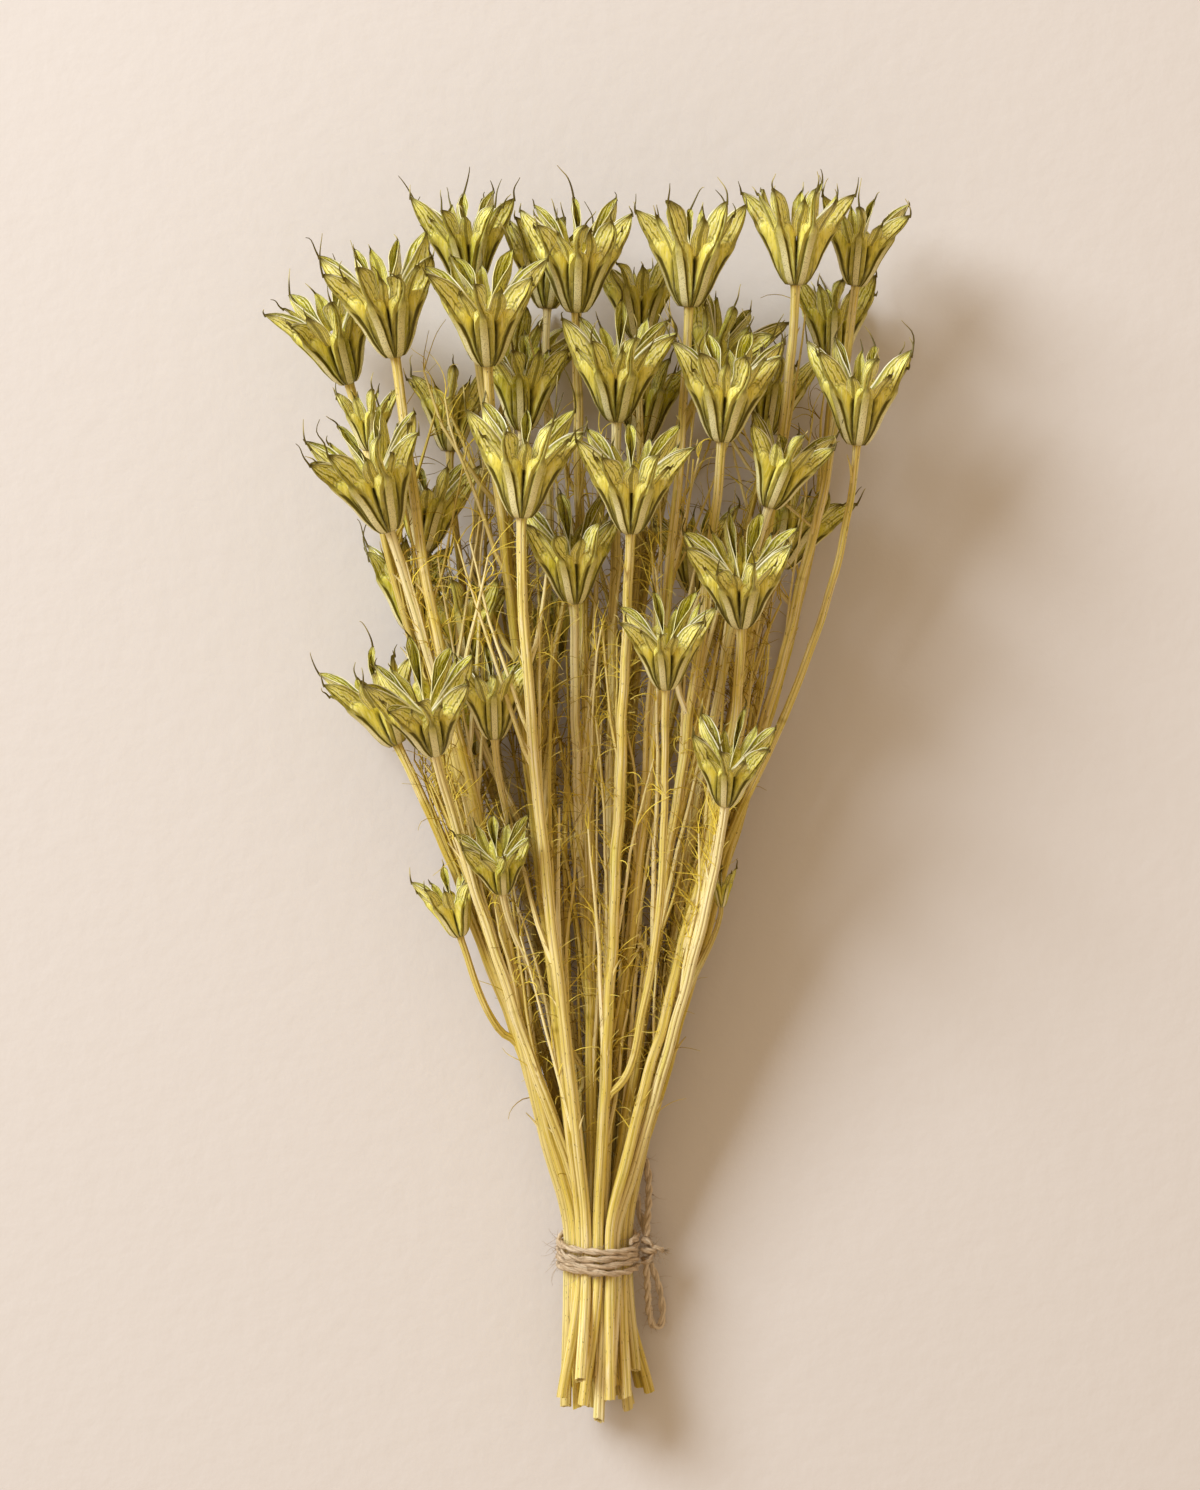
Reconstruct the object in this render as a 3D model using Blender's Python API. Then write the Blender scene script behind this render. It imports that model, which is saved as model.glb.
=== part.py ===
"""A tied bunch of dried nigella seed pods that lies on a surface.

Metres, +Z up. The stems run along Y, with the cut ends at -Y and the pods at
+Y. Each sprig is a stem with its pod, grown as one piece. A side shoot is a
sprig that leaves a main stem above the tie. Jute twine holds the main stems.
Lengths here are millimetres, and the meshes are scaled to metres at the end.
"""
import itertools
import math

import bmesh
import bpy
import numpy as np
from mathutils.bvhtree import BVHTree

MM = 0.001
GAP = 0.3

# Stems
TIE_PITCH = 4.25
TIE_RADIUS = 1.9
CUT_RADIUS = 1.95
STEM_FOOT = 2.1
STEM_NECK = 1.55
SHOOT_FOOT = 1.4
SHOOT_NECK = 1.3
CUT_LENGTH = 57.0
CUT_STEP = 3.5
CUT_SPREAD = 1.2
CUT_ASIDE = 6.5
CUT_TWIST = 0.54
CUT_SPLAY = (4.0, 3.0, 1.0)
CUT_TURNS = (2.4, 5.1, 1.7)
TIE_HALF = 7.5
SPAN_RINGS = 8
SHOOT_RINGS = 5
STEM_SPREAD = (1.04, 1.0, 0.8)
STEM_BEND = 0.8
SHOOT_BEND = 0.9
FORK_ASIDE = 0.35

# One pod of size 1, as heights above the stem and radii
SHOULDER = (1.6, 4.9)
SHOULDER_VALLEY = (1.4, 2.3)
LEDGE = (23.5, 16.3)
LEDGE_VALLEY = (23.0, 4.2)
TIP = (36.5, 20.8)
NOTCH = (25.6, 5.6)
CUP_FLOOR = 20.0
POD_STATIONS = ((12.0, 10.8), (25.5, 18.6))
TURN_VARIES = 0.06
HEIGHT_VARIES = (0.92, 1.08)
REACH_VARIES = (0.92, 1.06)
SHARP_EDGE = 35

# Twine
TWINE = 2.4
WRAP_PITCH = 2.72
WRAP_TURNS = 4.1
WRAP_TILT = 0.16
WRAP_STEPS = 22
KNOT_HALF = (1.9, 3.6, 3.6)
KNOT_DROP = 1.5
KNOT_LUMP = 0.08
LOOP_POINTS = 24

# Main sprigs: the pod's base x, y, z from the tie's middle on the surface, its
# lean towards +X and its rise above the surface in degrees, size, follicles
MAIN = {
    "sprig_01": (-88.6, 315.0, 36, -17, 22, 1.00, 7),
    "sprig_02": (-67.0, 322.0, 56, -9, 20, 1.10, 8),
    "sprig_03": (-41.4, 318.0, 66, -2, 24, 1.08, 7),
    "sprig_04": (-7.2, 335.0, 62, 1, 15, 1.04, 8),
    "sprig_05": (33.8, 338.0, 58, 2, 8, 1.04, 7),
    "sprig_06": (69.5, 345.0, 52, 1, 8, 1.00, 6),
    "sprig_07": (90.7, 346.0, 34, 7, 8, 0.86, 6),
    "sprig_08": (-40.7, 341.0, 38, -4, 10, 0.95, 7),
    "sprig_09": (36.7, 306.0, 40, 26, 10, 1.00, 6),
    "sprig_10": (84.6, 322.0, 19, 2, 0, 0.88, 6),
    "sprig_11": (-31.5, 314.0, 20, 26, 0, 0.95, 7),
    "sprig_12": (-27.4, 295.0, 46, 2, 8, 0.92, 6),
    "sprig_13": (6.5, 299.0, 62, 1, 24, 1.04, 7),
    "sprig_14": (16.0, 292.0, 21, 2, 0, 0.88, 7),
    "sprig_15": (45.0, 289.0, 60, 4, 20, 1.04, 8),
    "sprig_16": (57.0, 272.0, 44, 18, 12, 0.88, 6),
    "sprig_17": (64.0, 248.0, 20, 20, 0, 0.92, 7),
    "sprig_18": (-71.3, 260.0, 50, -17, 21, 1.10, 8),
    "sprig_19": (-60.0, 253.0, 26, 6, 6, 0.90, 6),
    "sprig_20": (-26.3, 262.0, 74, 3, 13, 1.04, 7),
    "sprig_21": (11.5, 258.0, 76, 1, 23, 1.00, 7),
    "sprig_22": (-8.3, 235.0, 44, -3, 20, 0.95, 7),
    "sprig_23": (50.4, 225.0, 66, -2, 30, 1.02, 8),
    "sprig_24": (-68.4, 185.0, 26, -24, 8, 0.92, 5),
    "sprig_25": (-54.4, 182.0, 50, -11, 36, 1.00, 8),
    "sprig_26": (-64.0, 219.0, 17, -3, 0, 0.90, 6),
    "sprig_27": (45.0, 162.0, 62, 6, 26, 0.82, 6),
}

# Side shoots: the same, then the main sprig and how far along Y they leave it
SHOOTS = {
    "shoot_01": (-22.5, 338.0, 36, 2, 2, 0.92, 7, "sprig_08", 205.0),
    "shoot_02": (15.1, 329.0, 42, 0, 2, 0.86, 6, "sprig_13", 200.0),
    "shoot_03": (91.5, 290.0, 40, 3, 12, 1.00, 7, "sprig_17", 133.0),
    "shoot_04": (-53.5, 289.0, 22, 2, 0, 0.84, 6, "sprig_19", 170.0),
    "shoot_05": (64.7, 296.0, 20, 8, 0, 0.84, 6, "sprig_14", 150.0),
    "shoot_06": (27.0, 240.0, 38, -2, 14, 0.84, 7, "sprig_15", 110.0),
    "shoot_07": (-82.0, 288.0, 32, -6, 2, 0.62, 5, "sprig_01", 200.0),
    "shoot_08": (-16.0, 214.0, 26, -6, 6, 0.78, 5, "sprig_20", 156.0),
    "shoot_09": (20.9, 205.0, 54, 0, 24, 0.88, 7, "sprig_21", 60.0),
    "shoot_10": (-46.0, 178.0, 20, 4, 0, 0.80, 6, "sprig_26", 90.0),
    "shoot_11": (-50.0, 210.0, 30, -2, 0, 0.86, 6, "sprig_12", 140.0),
    "shoot_12": (-36.0, 131.0, 38, -8, 34, 0.74, 6, "sprig_22", 61.0),
    "shoot_13": (-46.3, 116.0, 20, -15, 12, 0.66, 5, "sprig_24", 80.0),
    "shoot_14": (41.5, 126.0, 20, 0, 4, 0.40, 5, "sprig_27", 90.0),
    "shoot_15": (-36.0, 186.0, 40, -2, 12, 0.84, 6, "sprig_11", 120.0),
}
ROWS = {**MAIN, **SHOOTS}

# The bow's two loops, from the knot and back to it: one lies beside the cut
# ends, one beside the stems above the tie
LOW_LOOP = ((17.4, -4.6, 14.5), (17.8, -10, 12), (18.1, -17, 8.5), (18.6, -23.5, 4.6),
            (20, -28.4, 2.2), (22.2, -29, 1.5), (23.6, -25.4, 1.5), (23, -18, 2),
            (21.2, -10.8, 5.6), (18.8, -4.8, 10.6))
HIGH_LOOP = ((17.4, 4.6, 14.5), (18, 9.5, 10), (18.4, 15, 5), (18.6, 22, 1.9),
             (18, 29, 1.5), (16, 33, 1.5), (13.9, 29.5, 1.5), (14, 22, 1.5),
             (14.6, 15.4, 1.8), (16, 9.6, 4.4), (18, 4.8, 10.6))

# Colour, roughness
POD_PAINT = ((0.38, 0.36, 0.10), 0.45)
TWINE_PAINT = ((0.50, 0.38, 0.24), 0.90)

EASE_TURNS = 900
EASE_LAST = 300
EASE_STEP = 0.55
# Stems and pods give way least sideways and most in height
EASE_SHARES = (0.3, 0.55, 1.45)
SMOOTHING = 0.25
HOLD = 0.01
NEAR_REACH = 4.0
LOW_POD = 25
TRIM_TURNS = 12
TRIM_STEP = 0.8


def unit(vector):
    return vector / np.linalg.norm(vector)


def heading(lean, rise):
    """Unit vector that leans from +Y towards +X and rises above the surface."""
    a, b = math.radians(lean), math.radians(rise)
    return np.array([math.sin(a) * math.cos(b), math.cos(a) * math.cos(b), math.sin(b)])


def hermite(start, start_slope, end, end_slope, count):
    """Points on a smooth curve, from start to end, both included."""
    t = np.linspace(0.0, 1.0, count)[:, None]
    return ((2 * t**3 - 3 * t**2 + 1) * start + (t**3 - 2 * t**2 + t) * start_slope
            + (-2 * t**3 + 3 * t**2) * end + (t**3 - t**2) * end_slope)


def smooth_route(route, count):
    """Evenly spaced points on a smooth curve through the route's points."""
    route = np.array(route, float)
    slopes = np.gradient(route, axis=0)
    fine = [hermite(route[i], slopes[i], route[i + 1], slopes[i + 1], 13)[:-1]
            for i in range(len(route) - 1)]
    fine = np.vstack(fine + [route[-1:]])
    length = np.concatenate([[0], np.cumsum(np.linalg.norm(np.diff(fine, axis=0), axis=1))])
    even = np.linspace(0, length[-1], count)
    return np.stack([np.interp(even, length, fine[:, axis]) for axis in range(3)], axis=1)


def tie_slots(count):
    """Places of the stems inside the tie: the inner cells of a honeycomb."""
    row_height = TIE_PITCH * math.sqrt(3) / 2
    cells = []
    for row in range(-4, 5):
        for column in range(-5, 6):
            x = (column + 0.5 * (row % 2)) * TIE_PITCH
            z = row * row_height + TIE_PITCH / math.sqrt(3)
            cells.append((round(math.hypot(x, z), 4), x, z))
    return [(x, z) for _, x, z in sorted(cells)[:count]]


SLOTS = tie_slots(len(MAIN))
WRAP_RADIUS = max(math.hypot(x, z) for x, z in SLOTS) + TIE_RADIUS + GAP + TWINE / 2
TIE_HEIGHT = WRAP_RADIUS + TWINE / 2


def slot_of_each_main():
    """Stems keep their order from the tie to the head: low to high, left to right."""
    rows = {}
    for slot in sorted(SLOTS, key=lambda slot: (round(slot[1], 3), slot[0])):
        rows.setdefault(round(slot[1], 3), []).append(slot)
    names = sorted(MAIN, key=lambda name: MAIN[name][2])
    placed = {}
    for row in rows.values():
        group, names = names[:len(row)], names[len(row):]
        group.sort(key=lambda name: MAIN[name][0])
        placed.update(zip(group, row))
    return placed


def main_stem(name, slot, number):
    """Ring centres of a main stem, from the cut end to the pod's base."""
    x, y, z, lean, rise = MAIN[name][:5]
    low = np.array([slot[0], -TIE_HALF, TIE_HEIGHT + slot[1]])
    high = low + np.array([0.0, 2 * TIE_HALF, 0.0])
    lowest = min(z for _, z in SLOTS)
    cut = np.array([slot[0] * CUT_SPREAD + CUT_ASIDE - CUT_TWIST * (slot[1] - lowest),
                    -CUT_LENGTH + CUT_STEP * (number % 4),
                    TIE_HEIGHT + slot[1] * CUT_SPREAD])
    cut += CUT_SPLAY * np.sin(np.array(CUT_TURNS) * number)
    cut[2] = max(cut[2], CUT_RADIUS)
    base = np.array([x, y, z])
    span = np.linalg.norm(base - high)
    start = unit((base - high) * np.array(STEM_SPREAD)) * span
    points = hermite(high, start, base, heading(lean, rise) * span * STEM_BEND, SPAN_RINGS + 1)
    return np.vstack([cut, low, points])


def side_stem(name, stems):
    """Ring centres of a side shoot, and where it stands on its main stem."""
    x, y, z, lean, rise, _, _, parent, fork = SHOOTS[name]
    stem = stems[parent]
    index = int(np.searchsorted(stem[:, 1], fork)) - 1
    share = (fork - stem[index, 1]) / (stem[index + 1, 1] - stem[index, 1])
    foot = stem[index] * (1 - share) + stem[index + 1] * share
    along = unit(stem[index + 1] - stem[index])
    base = np.array([x, y, z])
    aside = unit((base - foot) - along * np.dot(base - foot, along))
    start = foot + aside * (STEM_FOOT + SHOOT_FOOT + 2 * GAP)
    span = np.linalg.norm(base - start)
    points = hermite(start, (along + FORK_ASIDE * aside) * span, base,
                     heading(lean, rise) * span * SHOOT_BEND, SHOOT_RINGS + 1)
    return points, (parent, index, share)


def nearest_share(point, start, end):
    """How far along a segment its closest point to another point lies, 0 to 1."""
    line = end - start
    return np.clip(((point - start) * line).sum(1) / (line * line).sum(1), 0, 1)


def closest_shares(p1, q1, p2, q2):
    """How far along each of two segments their closest points lie, 0 to 1."""
    d1, d2, r = q1 - p1, q2 - p2, p1 - p2
    a, e = (d1 * d1).sum(1), (d2 * d2).sum(1)
    b, c, f = (d1 * d2).sum(1), (d1 * r).sum(1), (d2 * r).sum(1)
    spread = a * e - b * b
    s = np.where(spread > 1e-6 * a * e, (b * f - c * e) / np.maximum(spread, 1e-9), 0.5)
    t = np.clip((b * np.clip(s, 0, 1) + f) / e, 0, 1)
    return np.clip((b * t - c) / a, 0, 1), t


def shares_to_try(p1, q1, p2, q2):
    """Places where two tapered segments may overlap most: the closest and the ends."""
    none, full = np.zeros(len(p1)), np.ones(len(p1))
    return [closest_shares(p1, q1, p2, q2),
            (none, nearest_share(p1, p2, q2)), (full, nearest_share(q1, p2, q2)),
            (nearest_share(p2, p1, q1), none), (nearest_share(q2, p1, q1), full)]


class Bunch:
    """Every stem and pod as a chain of points, with a radius at each point."""

    def __init__(self):
        slots = slot_of_each_main()
        self.stems, self.feet = {}, {}
        for number, name in enumerate(MAIN):
            self.stems[name] = main_stem(name, slots[name], number)
        for name in SHOOTS:
            self.stems[name], self.feet[name] = side_stem(name, self.stems)
        self.first, self.base = {}, {}
        points, radii, free, starts, owners = [], [], [], [], []
        for order, (name, stem) in enumerate(self.stems.items()):
            self.first[name] = len(points)
            self.base[name] = len(points) + len(stem) - 1
            size = ROWS[name][5]
            axis = heading(*ROWS[name][3:5])
            points += list(stem) + [stem[-1] + axis * height * size for height, _ in POD_STATIONS]
            radii += list(stem_radii(name)) + [spread * size for _, spread in POD_STATIONS]
            held = (1, 2) if name in MAIN else (0,)
            free += [index not in held for index in range(len(stem) + len(POD_STATIONS))]
            starts += list(range(self.first[name], len(points) - 1))
            owners += [order] * (len(points) - 1 - self.first[name])
        self.rest, self.radii, self.free = np.array(points), np.array(radii), np.array(free)
        self.starts, self.owners = np.array(starts), np.array(owners)
        self.shift = np.zeros_like(self.rest)

    def points(self):
        return self.rest + self.shift

    def pod(self, name):
        """The rows of a pod's points, from its base to its last station."""
        return slice(self.base[name], self.base[name] + 1 + len(POD_STATIONS))

    def rings(self, name):
        """Where the rings of a stem are now."""
        return self.points()[self.first[name]:self.base[name] + 1]

    def pairs(self):
        """Segments that may meet: those of two different stems."""
        one, two = np.triu_indices(len(self.owners), 1)
        apart = self.owners[one] != self.owners[two]
        return one[apart], two[apart]

    def near(self, pairs):
        """The pairs that are close enough to matter for the next few turns."""
        points = self.points()
        a, b = points[self.starts], points[self.starts + 1]
        reach = np.linalg.norm(b - a, axis=1) / 2
        reach = reach + np.maximum(self.radii[self.starts], self.radii[self.starts + 1])
        one, two = pairs
        apart = np.linalg.norm((a + b)[one] / 2 - (a + b)[two] / 2, axis=1)
        keep = apart < reach[one] + reach[two] + NEAR_REACH
        return self.starts[one[keep]], self.starts[two[keep]]

    def overlaps(self, near):
        """Depth and direction of each overlap, with its place on both segments."""
        one, two = near
        points, radii = self.points(), self.radii
        ends = points[one], points[one + 1], points[two], points[two + 1]
        s, t, depth = np.zeros(len(one)), np.zeros(len(one)), np.full(len(one), -np.inf)
        way = np.zeros((len(one), 3))
        for along, across in shares_to_try(*ends):
            line = (ends[0] + (ends[1] - ends[0]) * along[:, None]
                    - ends[2] - (ends[3] - ends[2]) * across[:, None])
            reach = (radii[one] + (radii[one + 1] - radii[one]) * along
                     + radii[two] + (radii[two + 1] - radii[two]) * across + GAP)
            apart = np.linalg.norm(line, axis=1)
            more = reach - apart > depth
            s[more], t[more], depth[more] = along[more], across[more], (reach - apart)[more]
            way[more] = line[more] / np.maximum(apart[more], 1e-6)[:, None]
        hit = depth > 0
        return one[hit], two[hit], s[hit], t[hit], depth[hit], way[hit]


def stem_radii(name):
    """Radius at each ring: squeezed in the tie, thickest above it, thin under the pod."""
    size = ROWS[name][5] ** 0.5
    if name in SHOOTS:
        return np.linspace(SHOOT_FOOT, SHOOT_NECK * size, SHOOT_RINGS + 1)
    free = np.linspace(STEM_FOOT, STEM_NECK * size, SPAN_RINGS)
    return np.concatenate([[CUT_RADIUS, TIE_RADIUS, TIE_RADIUS], free])


def ease_apart(bunch):
    """Shift stems and pods that share room, smoothly along each stem, until none do."""
    pairs = bunch.pairs()
    for turn in range(EASE_TURNS):
        if turn % 8 == 0:
            near = bunch.near(pairs)
        one, two, s, t, depth, way = bunch.overlaps(near)
        push, hits = np.zeros_like(bunch.rest), np.zeros(len(bunch.rest))
        for rows, share, sign in ((one, 1 - s, 1), (one + 1, s, 1), (two, 1 - t, -1), (two + 1, t, -1)):
            np.add.at(push, rows, sign * way * EASE_SHARES * (EASE_STEP * depth * share)[:, None])
            np.add.at(hits, rows, share)
        push /= np.maximum(hits, 1.0)[:, None]
        push[~bunch.free] = 0
        bunch.shift += push
        last = max(0.0, (turn - EASE_TURNS + EASE_LAST) / EASE_LAST)
        keep_shapes(bunch, push, SMOOTHING * (1 - last) ** 2, HOLD * (1 - last) ** 2)


def keep_shapes(bunch, push, smoothing, hold):
    """Pods move whole, stems stay smooth, shoots stay on their stem, nothing sinks."""
    shift = bunch.shift
    for name, base in bunch.base.items():
        pod, first = bunch.pod(name), bunch.first[name]
        pushed = np.abs(push[pod]).sum(1) > 0
        if pushed.any():
            shift[pod] = (shift[pod] - push[pod]).mean(0) + push[pod][pushed].mean(0)
        shift[pod] *= 1 - hold
        inner = np.arange(first + 1, base)
        inner = inner[bunch.free[inner]]
        even = (shift[inner - 1] + shift[inner + 1]) / 2
        shift[inner] += smoothing * (even - shift[inner])
        if name in bunch.feet:
            parent, index, share = bunch.feet[name]
            foot = bunch.first[parent] + index
            shift[first] = shift[foot] * (1 - share) + shift[foot + 1] * share
    sunk = np.minimum(bunch.rest[:, 2] + shift[:, 2] - bunch.radii, 0)
    sunk[~bunch.free] = 0
    for name in bunch.stems:
        sunk[bunch.pod(name)] = sunk[bunch.pod(name)].min()
    shift[:, 2] -= sunk


def ring_frames(rings, axis):
    """Two directions across the stem at each ring, without twist from the pod down."""
    along = np.gradient(rings, axis=0)
    along[-1] = axis
    side = np.cross(axis, (0.0, 0.0, 1.0))
    frames = [None] * len(rings)
    for index in range(len(rings) - 1, -1, -1):
        tangent = unit(along[index])
        side = unit(side - tangent * np.dot(side, tangent))
        frames[index] = (side, np.cross(side, tangent))
    return frames


class Sprig:
    """The surface of one stem and its pod, from the cut end to the follicles' tips."""

    def __init__(self, bunch, name, draw):
        self.rings, self.radii = bunch.rings(name), stem_radii(name)
        self.axis = heading(*ROWS[name][3:5])
        self.frames = ring_frames(self.rings, self.axis)
        self.size, self.count = ROWS[name][5], ROWS[name][6]
        low = ROWS[name][2] < LOW_POD
        spin = math.pi if low else draw.uniform(0, 2 * math.pi / self.count)
        self.even = spin + 2 * math.pi * np.arange(self.count) / self.count
        self.ridges = self.even + draw.uniform(-TURN_VARIES, TURN_VARIES, self.count)
        self.valleys = (self.ridges + np.append(self.ridges[1:], self.ridges[0] + 2 * math.pi)) / 2
        self.tip_heights = TIP[0] * draw.uniform(*HEIGHT_VARIES, self.count)
        self.tip_reaches = TIP[1] * draw.uniform(*REACH_VARIES, self.count)
        self.shares = np.ones(self.count)

    def place(self, height, radius, angle):
        """A point on the pod, by its height above the stem, radius and angle from the top."""
        side, up = self.frames[-1]
        out = math.cos(angle) * up + math.sin(angle) * side
        return self.rings[-1] + (self.axis * height + out * radius) * self.size

    def star(self, ridge, valley):
        """A ring of corners that alternate between follicle backs and the grooves."""
        return [self.place(*spot, angle) for pair in zip(self.ridges, self.valleys)
                for spot, angle in zip((ridge, valley), pair)]

    def loops(self):
        loops = []
        for centre, (side, up), radius in zip(self.rings, self.frames, self.radii):
            loops.append([centre + radius * (math.cos(a) * up + math.sin(a) * side) for a in self.even])
        ledges, tips = self.star(LEDGE, LEDGE_VALLEY), self.star(TIP, NOTCH)
        for i, angle in enumerate(self.ridges):
            tip = self.place(self.tip_heights[i], self.tip_reaches[i], angle)
            tips[2 * i] = ledges[2 * i] + (tip - ledges[2 * i]) * self.shares[i]
        return loops + [self.star(SHOULDER, SHOULDER_VALLEY), ledges, tips]

    def surface(self):
        """Corners and faces, and which follicle each face near the tips belongs to."""
        loops = self.loops()
        corners = [corner for loop in loops for corner in loop]
        corners.append(self.place(CUP_FLOOR, 0, 0))
        faces, follicle = [tuple(range(self.count))], {}
        first = 0
        for low, high in zip(loops, loops[1:]):
            count, above = len(low), first + len(low)
            for i in range(count):
                a, b = first + i, first + (i + 1) % count
                if len(high) > count:
                    c, d, e = above + 2 * i, above + 2 * i + 1, above + (2 * i + 2) % len(high)
                    faces += [(a, c, d), (b, a, d), (b, d, e)]
                    continue
                c, d = above + (i + 1) % count, above + i
                faces += [(b, a, c), (a, d, c)] if i % 2 == 0 else [(b, a, d), (b, d, c)]
                if high is loops[-1]:
                    follicle[len(faces) - 2] = follicle[len(faces) - 1] = (i + 1) // 2 % self.count
            first = above
        for i in range(2 * self.count):
            follicle[len(faces)] = (i + 1) // 2 % self.count
            faces.append((first + i, len(corners) - 1, first + (i + 1) % (2 * self.count)))
        return corners, faces, follicle


def trim_tips(sprigs):
    """Shorten the follicle tips that reach into a neighbour, until none do."""
    for _ in range(TRIM_TURNS):
        surfaces = {name: sprig.surface() for name, sprig in sprigs.items()}
        trees = {name: BVHTree.FromPolygons(corners, faces, epsilon=GAP / 2)
                 for name, (corners, faces, _) in surfaces.items()}
        touched = set()
        for one, two in itertools.combinations(sprigs, 2):
            for face_one, face_two in trees[one].overlap(trees[two]):
                touched.add((one, surfaces[one][2].get(face_one)))
                touched.add((two, surfaces[two][2].get(face_two)))
        for name, follicle in touched:
            if follicle is not None:
                sprigs[name].shares[follicle] *= TRIM_STEP
        if not touched:
            break


def paint(name, colour, roughness):
    material = bpy.data.materials.new(name)
    material.use_nodes = True
    shader = material.node_tree.nodes["Principled BSDF"]
    shader.inputs["Base Color"].default_value = (*colour, 1.0)
    shader.inputs["Roughness"].default_value = roughness
    shader.inputs["Metallic"].default_value = 0.0
    return material


def add_mesh(name, corners, faces, look):
    data = bpy.data.meshes.new(name)
    data.from_pydata([corner * MM for corner in corners], [], faces)
    mesh = bmesh.new()
    mesh.from_mesh(data)
    bmesh.ops.recalc_face_normals(mesh, faces=mesh.faces[:])
    mesh.to_mesh(data)
    mesh.free()
    data.materials.append(paint(name, *look))
    data.shade_smooth()
    data.set_sharp_from_angle(angle=math.radians(SHARP_EDGE))
    item = bpy.data.objects.new(name, data)
    bpy.context.scene.collection.objects.link(item)
    return item


def add_tube(name, points, look):
    """A round tube of twine along the points, with flat ends."""
    curve = bpy.data.curves.new(name, "CURVE")
    curve.dimensions = "3D"
    curve.bevel_depth = TWINE / 2 * MM
    curve.bevel_resolution = 2
    curve.use_fill_caps = True
    spline = curve.splines.new("POLY")
    spline.points.add(len(points) - 1)
    for target, point in zip(spline.points, points):
        target.co = (*(point * MM), 1.0)
    curve.materials.append(paint(name, *look))
    item = bpy.data.objects.new(name, curve)
    bpy.context.scene.collection.objects.link(item)
    return item


def wrap_points():
    """The twine's turns round the stems, lower in front than at the sides."""
    steps = int(WRAP_TURNS * WRAP_STEPS)
    points = []
    for step in range(steps + 1):
        turns = step / WRAP_STEPS
        angle = 2 * math.pi * turns
        rise = WRAP_RADIUS * math.sin(angle)
        points.append(np.array([WRAP_RADIUS * math.cos(angle),
                                WRAP_PITCH * (turns - WRAP_TURNS / 2) - WRAP_TILT * rise,
                                TIE_HEIGHT + rise]))
    return points


def add_knot():
    """The knot at the tie's right side, a small lump on the turns."""
    ball = bmesh.new()
    bmesh.ops.create_icosphere(ball, subdivisions=2, radius=1.0)
    centre = np.array([WRAP_RADIUS + TWINE / 2 + GAP + KNOT_HALF[0], 0.0, TIE_HEIGHT - KNOT_DROP])
    corners = []
    for vertex in ball.verts:
        lump = 1.0 - KNOT_LUMP * math.cos(5 * vertex.co.y) * math.cos(4 * vertex.co.z)
        corners.append(centre + np.array(vertex.co) * KNOT_HALF * lump)
    faces = [[vertex.index for vertex in face.verts] for face in ball.faces]
    ball.free()
    return add_mesh("twine_knot", corners, faces, TWINE_PAINT)


def centre_on_origin(items):
    """Move the bunch so that its box is centred on X and Y and rests on z = 0."""
    bpy.context.view_layer.update()
    graph = bpy.context.evaluated_depsgraph_get()
    corners = []
    for item in items:
        data = item.evaluated_get(graph).to_mesh()
        corners += [tuple(item.matrix_world @ vertex.co) for vertex in data.vertices]
        item.evaluated_get(graph).to_mesh_clear()
    low, high = np.min(corners, axis=0), np.max(corners, axis=0)
    for item in items:
        item.location = (-(low[0] + high[0]) / 2, -(low[1] + high[1]) / 2, -low[2])


def main():
    for item in list(bpy.data.objects):
        bpy.data.objects.remove(item, do_unlink=True)
    bunch = Bunch()
    ease_apart(bunch)
    draw = np.random.default_rng(11)
    sprigs = {name: Sprig(bunch, name, draw) for name in ROWS}
    trim_tips(sprigs)
    items = [add_mesh(name, *sprig.surface()[:2], POD_PAINT) for name, sprig in sprigs.items()]
    items.append(add_tube("twine_wrap", wrap_points(), TWINE_PAINT))
    items.append(add_knot())
    items.append(add_tube("twine_loop_low", smooth_route(LOW_LOOP, LOOP_POINTS), TWINE_PAINT))
    items.append(add_tube("twine_loop_high", smooth_route(HIGH_LOOP, LOOP_POINTS), TWINE_PAINT))
    centre_on_origin(items)


if __name__ == "__main__":
    main()
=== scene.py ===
"""A tied bunch of dried nigella pods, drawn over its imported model.

Lengths in the tables and shape functions are millimetres, and pieces are scaled
to metres when they are made. Stems run along Y, from the cut ends to the pods.
"""

import math

import bmesh
import bpy
import numpy as np
from bpy.props import FloatProperty, FloatVectorProperty, IntProperty, PointerProperty
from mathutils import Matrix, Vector


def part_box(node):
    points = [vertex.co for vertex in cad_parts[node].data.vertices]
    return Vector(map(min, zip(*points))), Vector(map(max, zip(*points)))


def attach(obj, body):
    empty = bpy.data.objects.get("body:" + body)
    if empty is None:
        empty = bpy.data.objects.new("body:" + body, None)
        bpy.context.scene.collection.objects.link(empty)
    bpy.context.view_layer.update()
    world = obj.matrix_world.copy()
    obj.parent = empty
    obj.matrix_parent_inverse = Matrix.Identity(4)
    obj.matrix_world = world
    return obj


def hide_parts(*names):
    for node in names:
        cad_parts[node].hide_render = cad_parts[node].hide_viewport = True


bl_info = {
    "name": "Nigella bunch",
    "version": (1, 0, 0),
    "blender": (4, 5, 0),
    "location": "3D View > Sidebar > Nigella",
    "description": "Draws a tied bunch of dried nigella pods over its packed model",
    "category": "Add Mesh",
}

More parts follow.
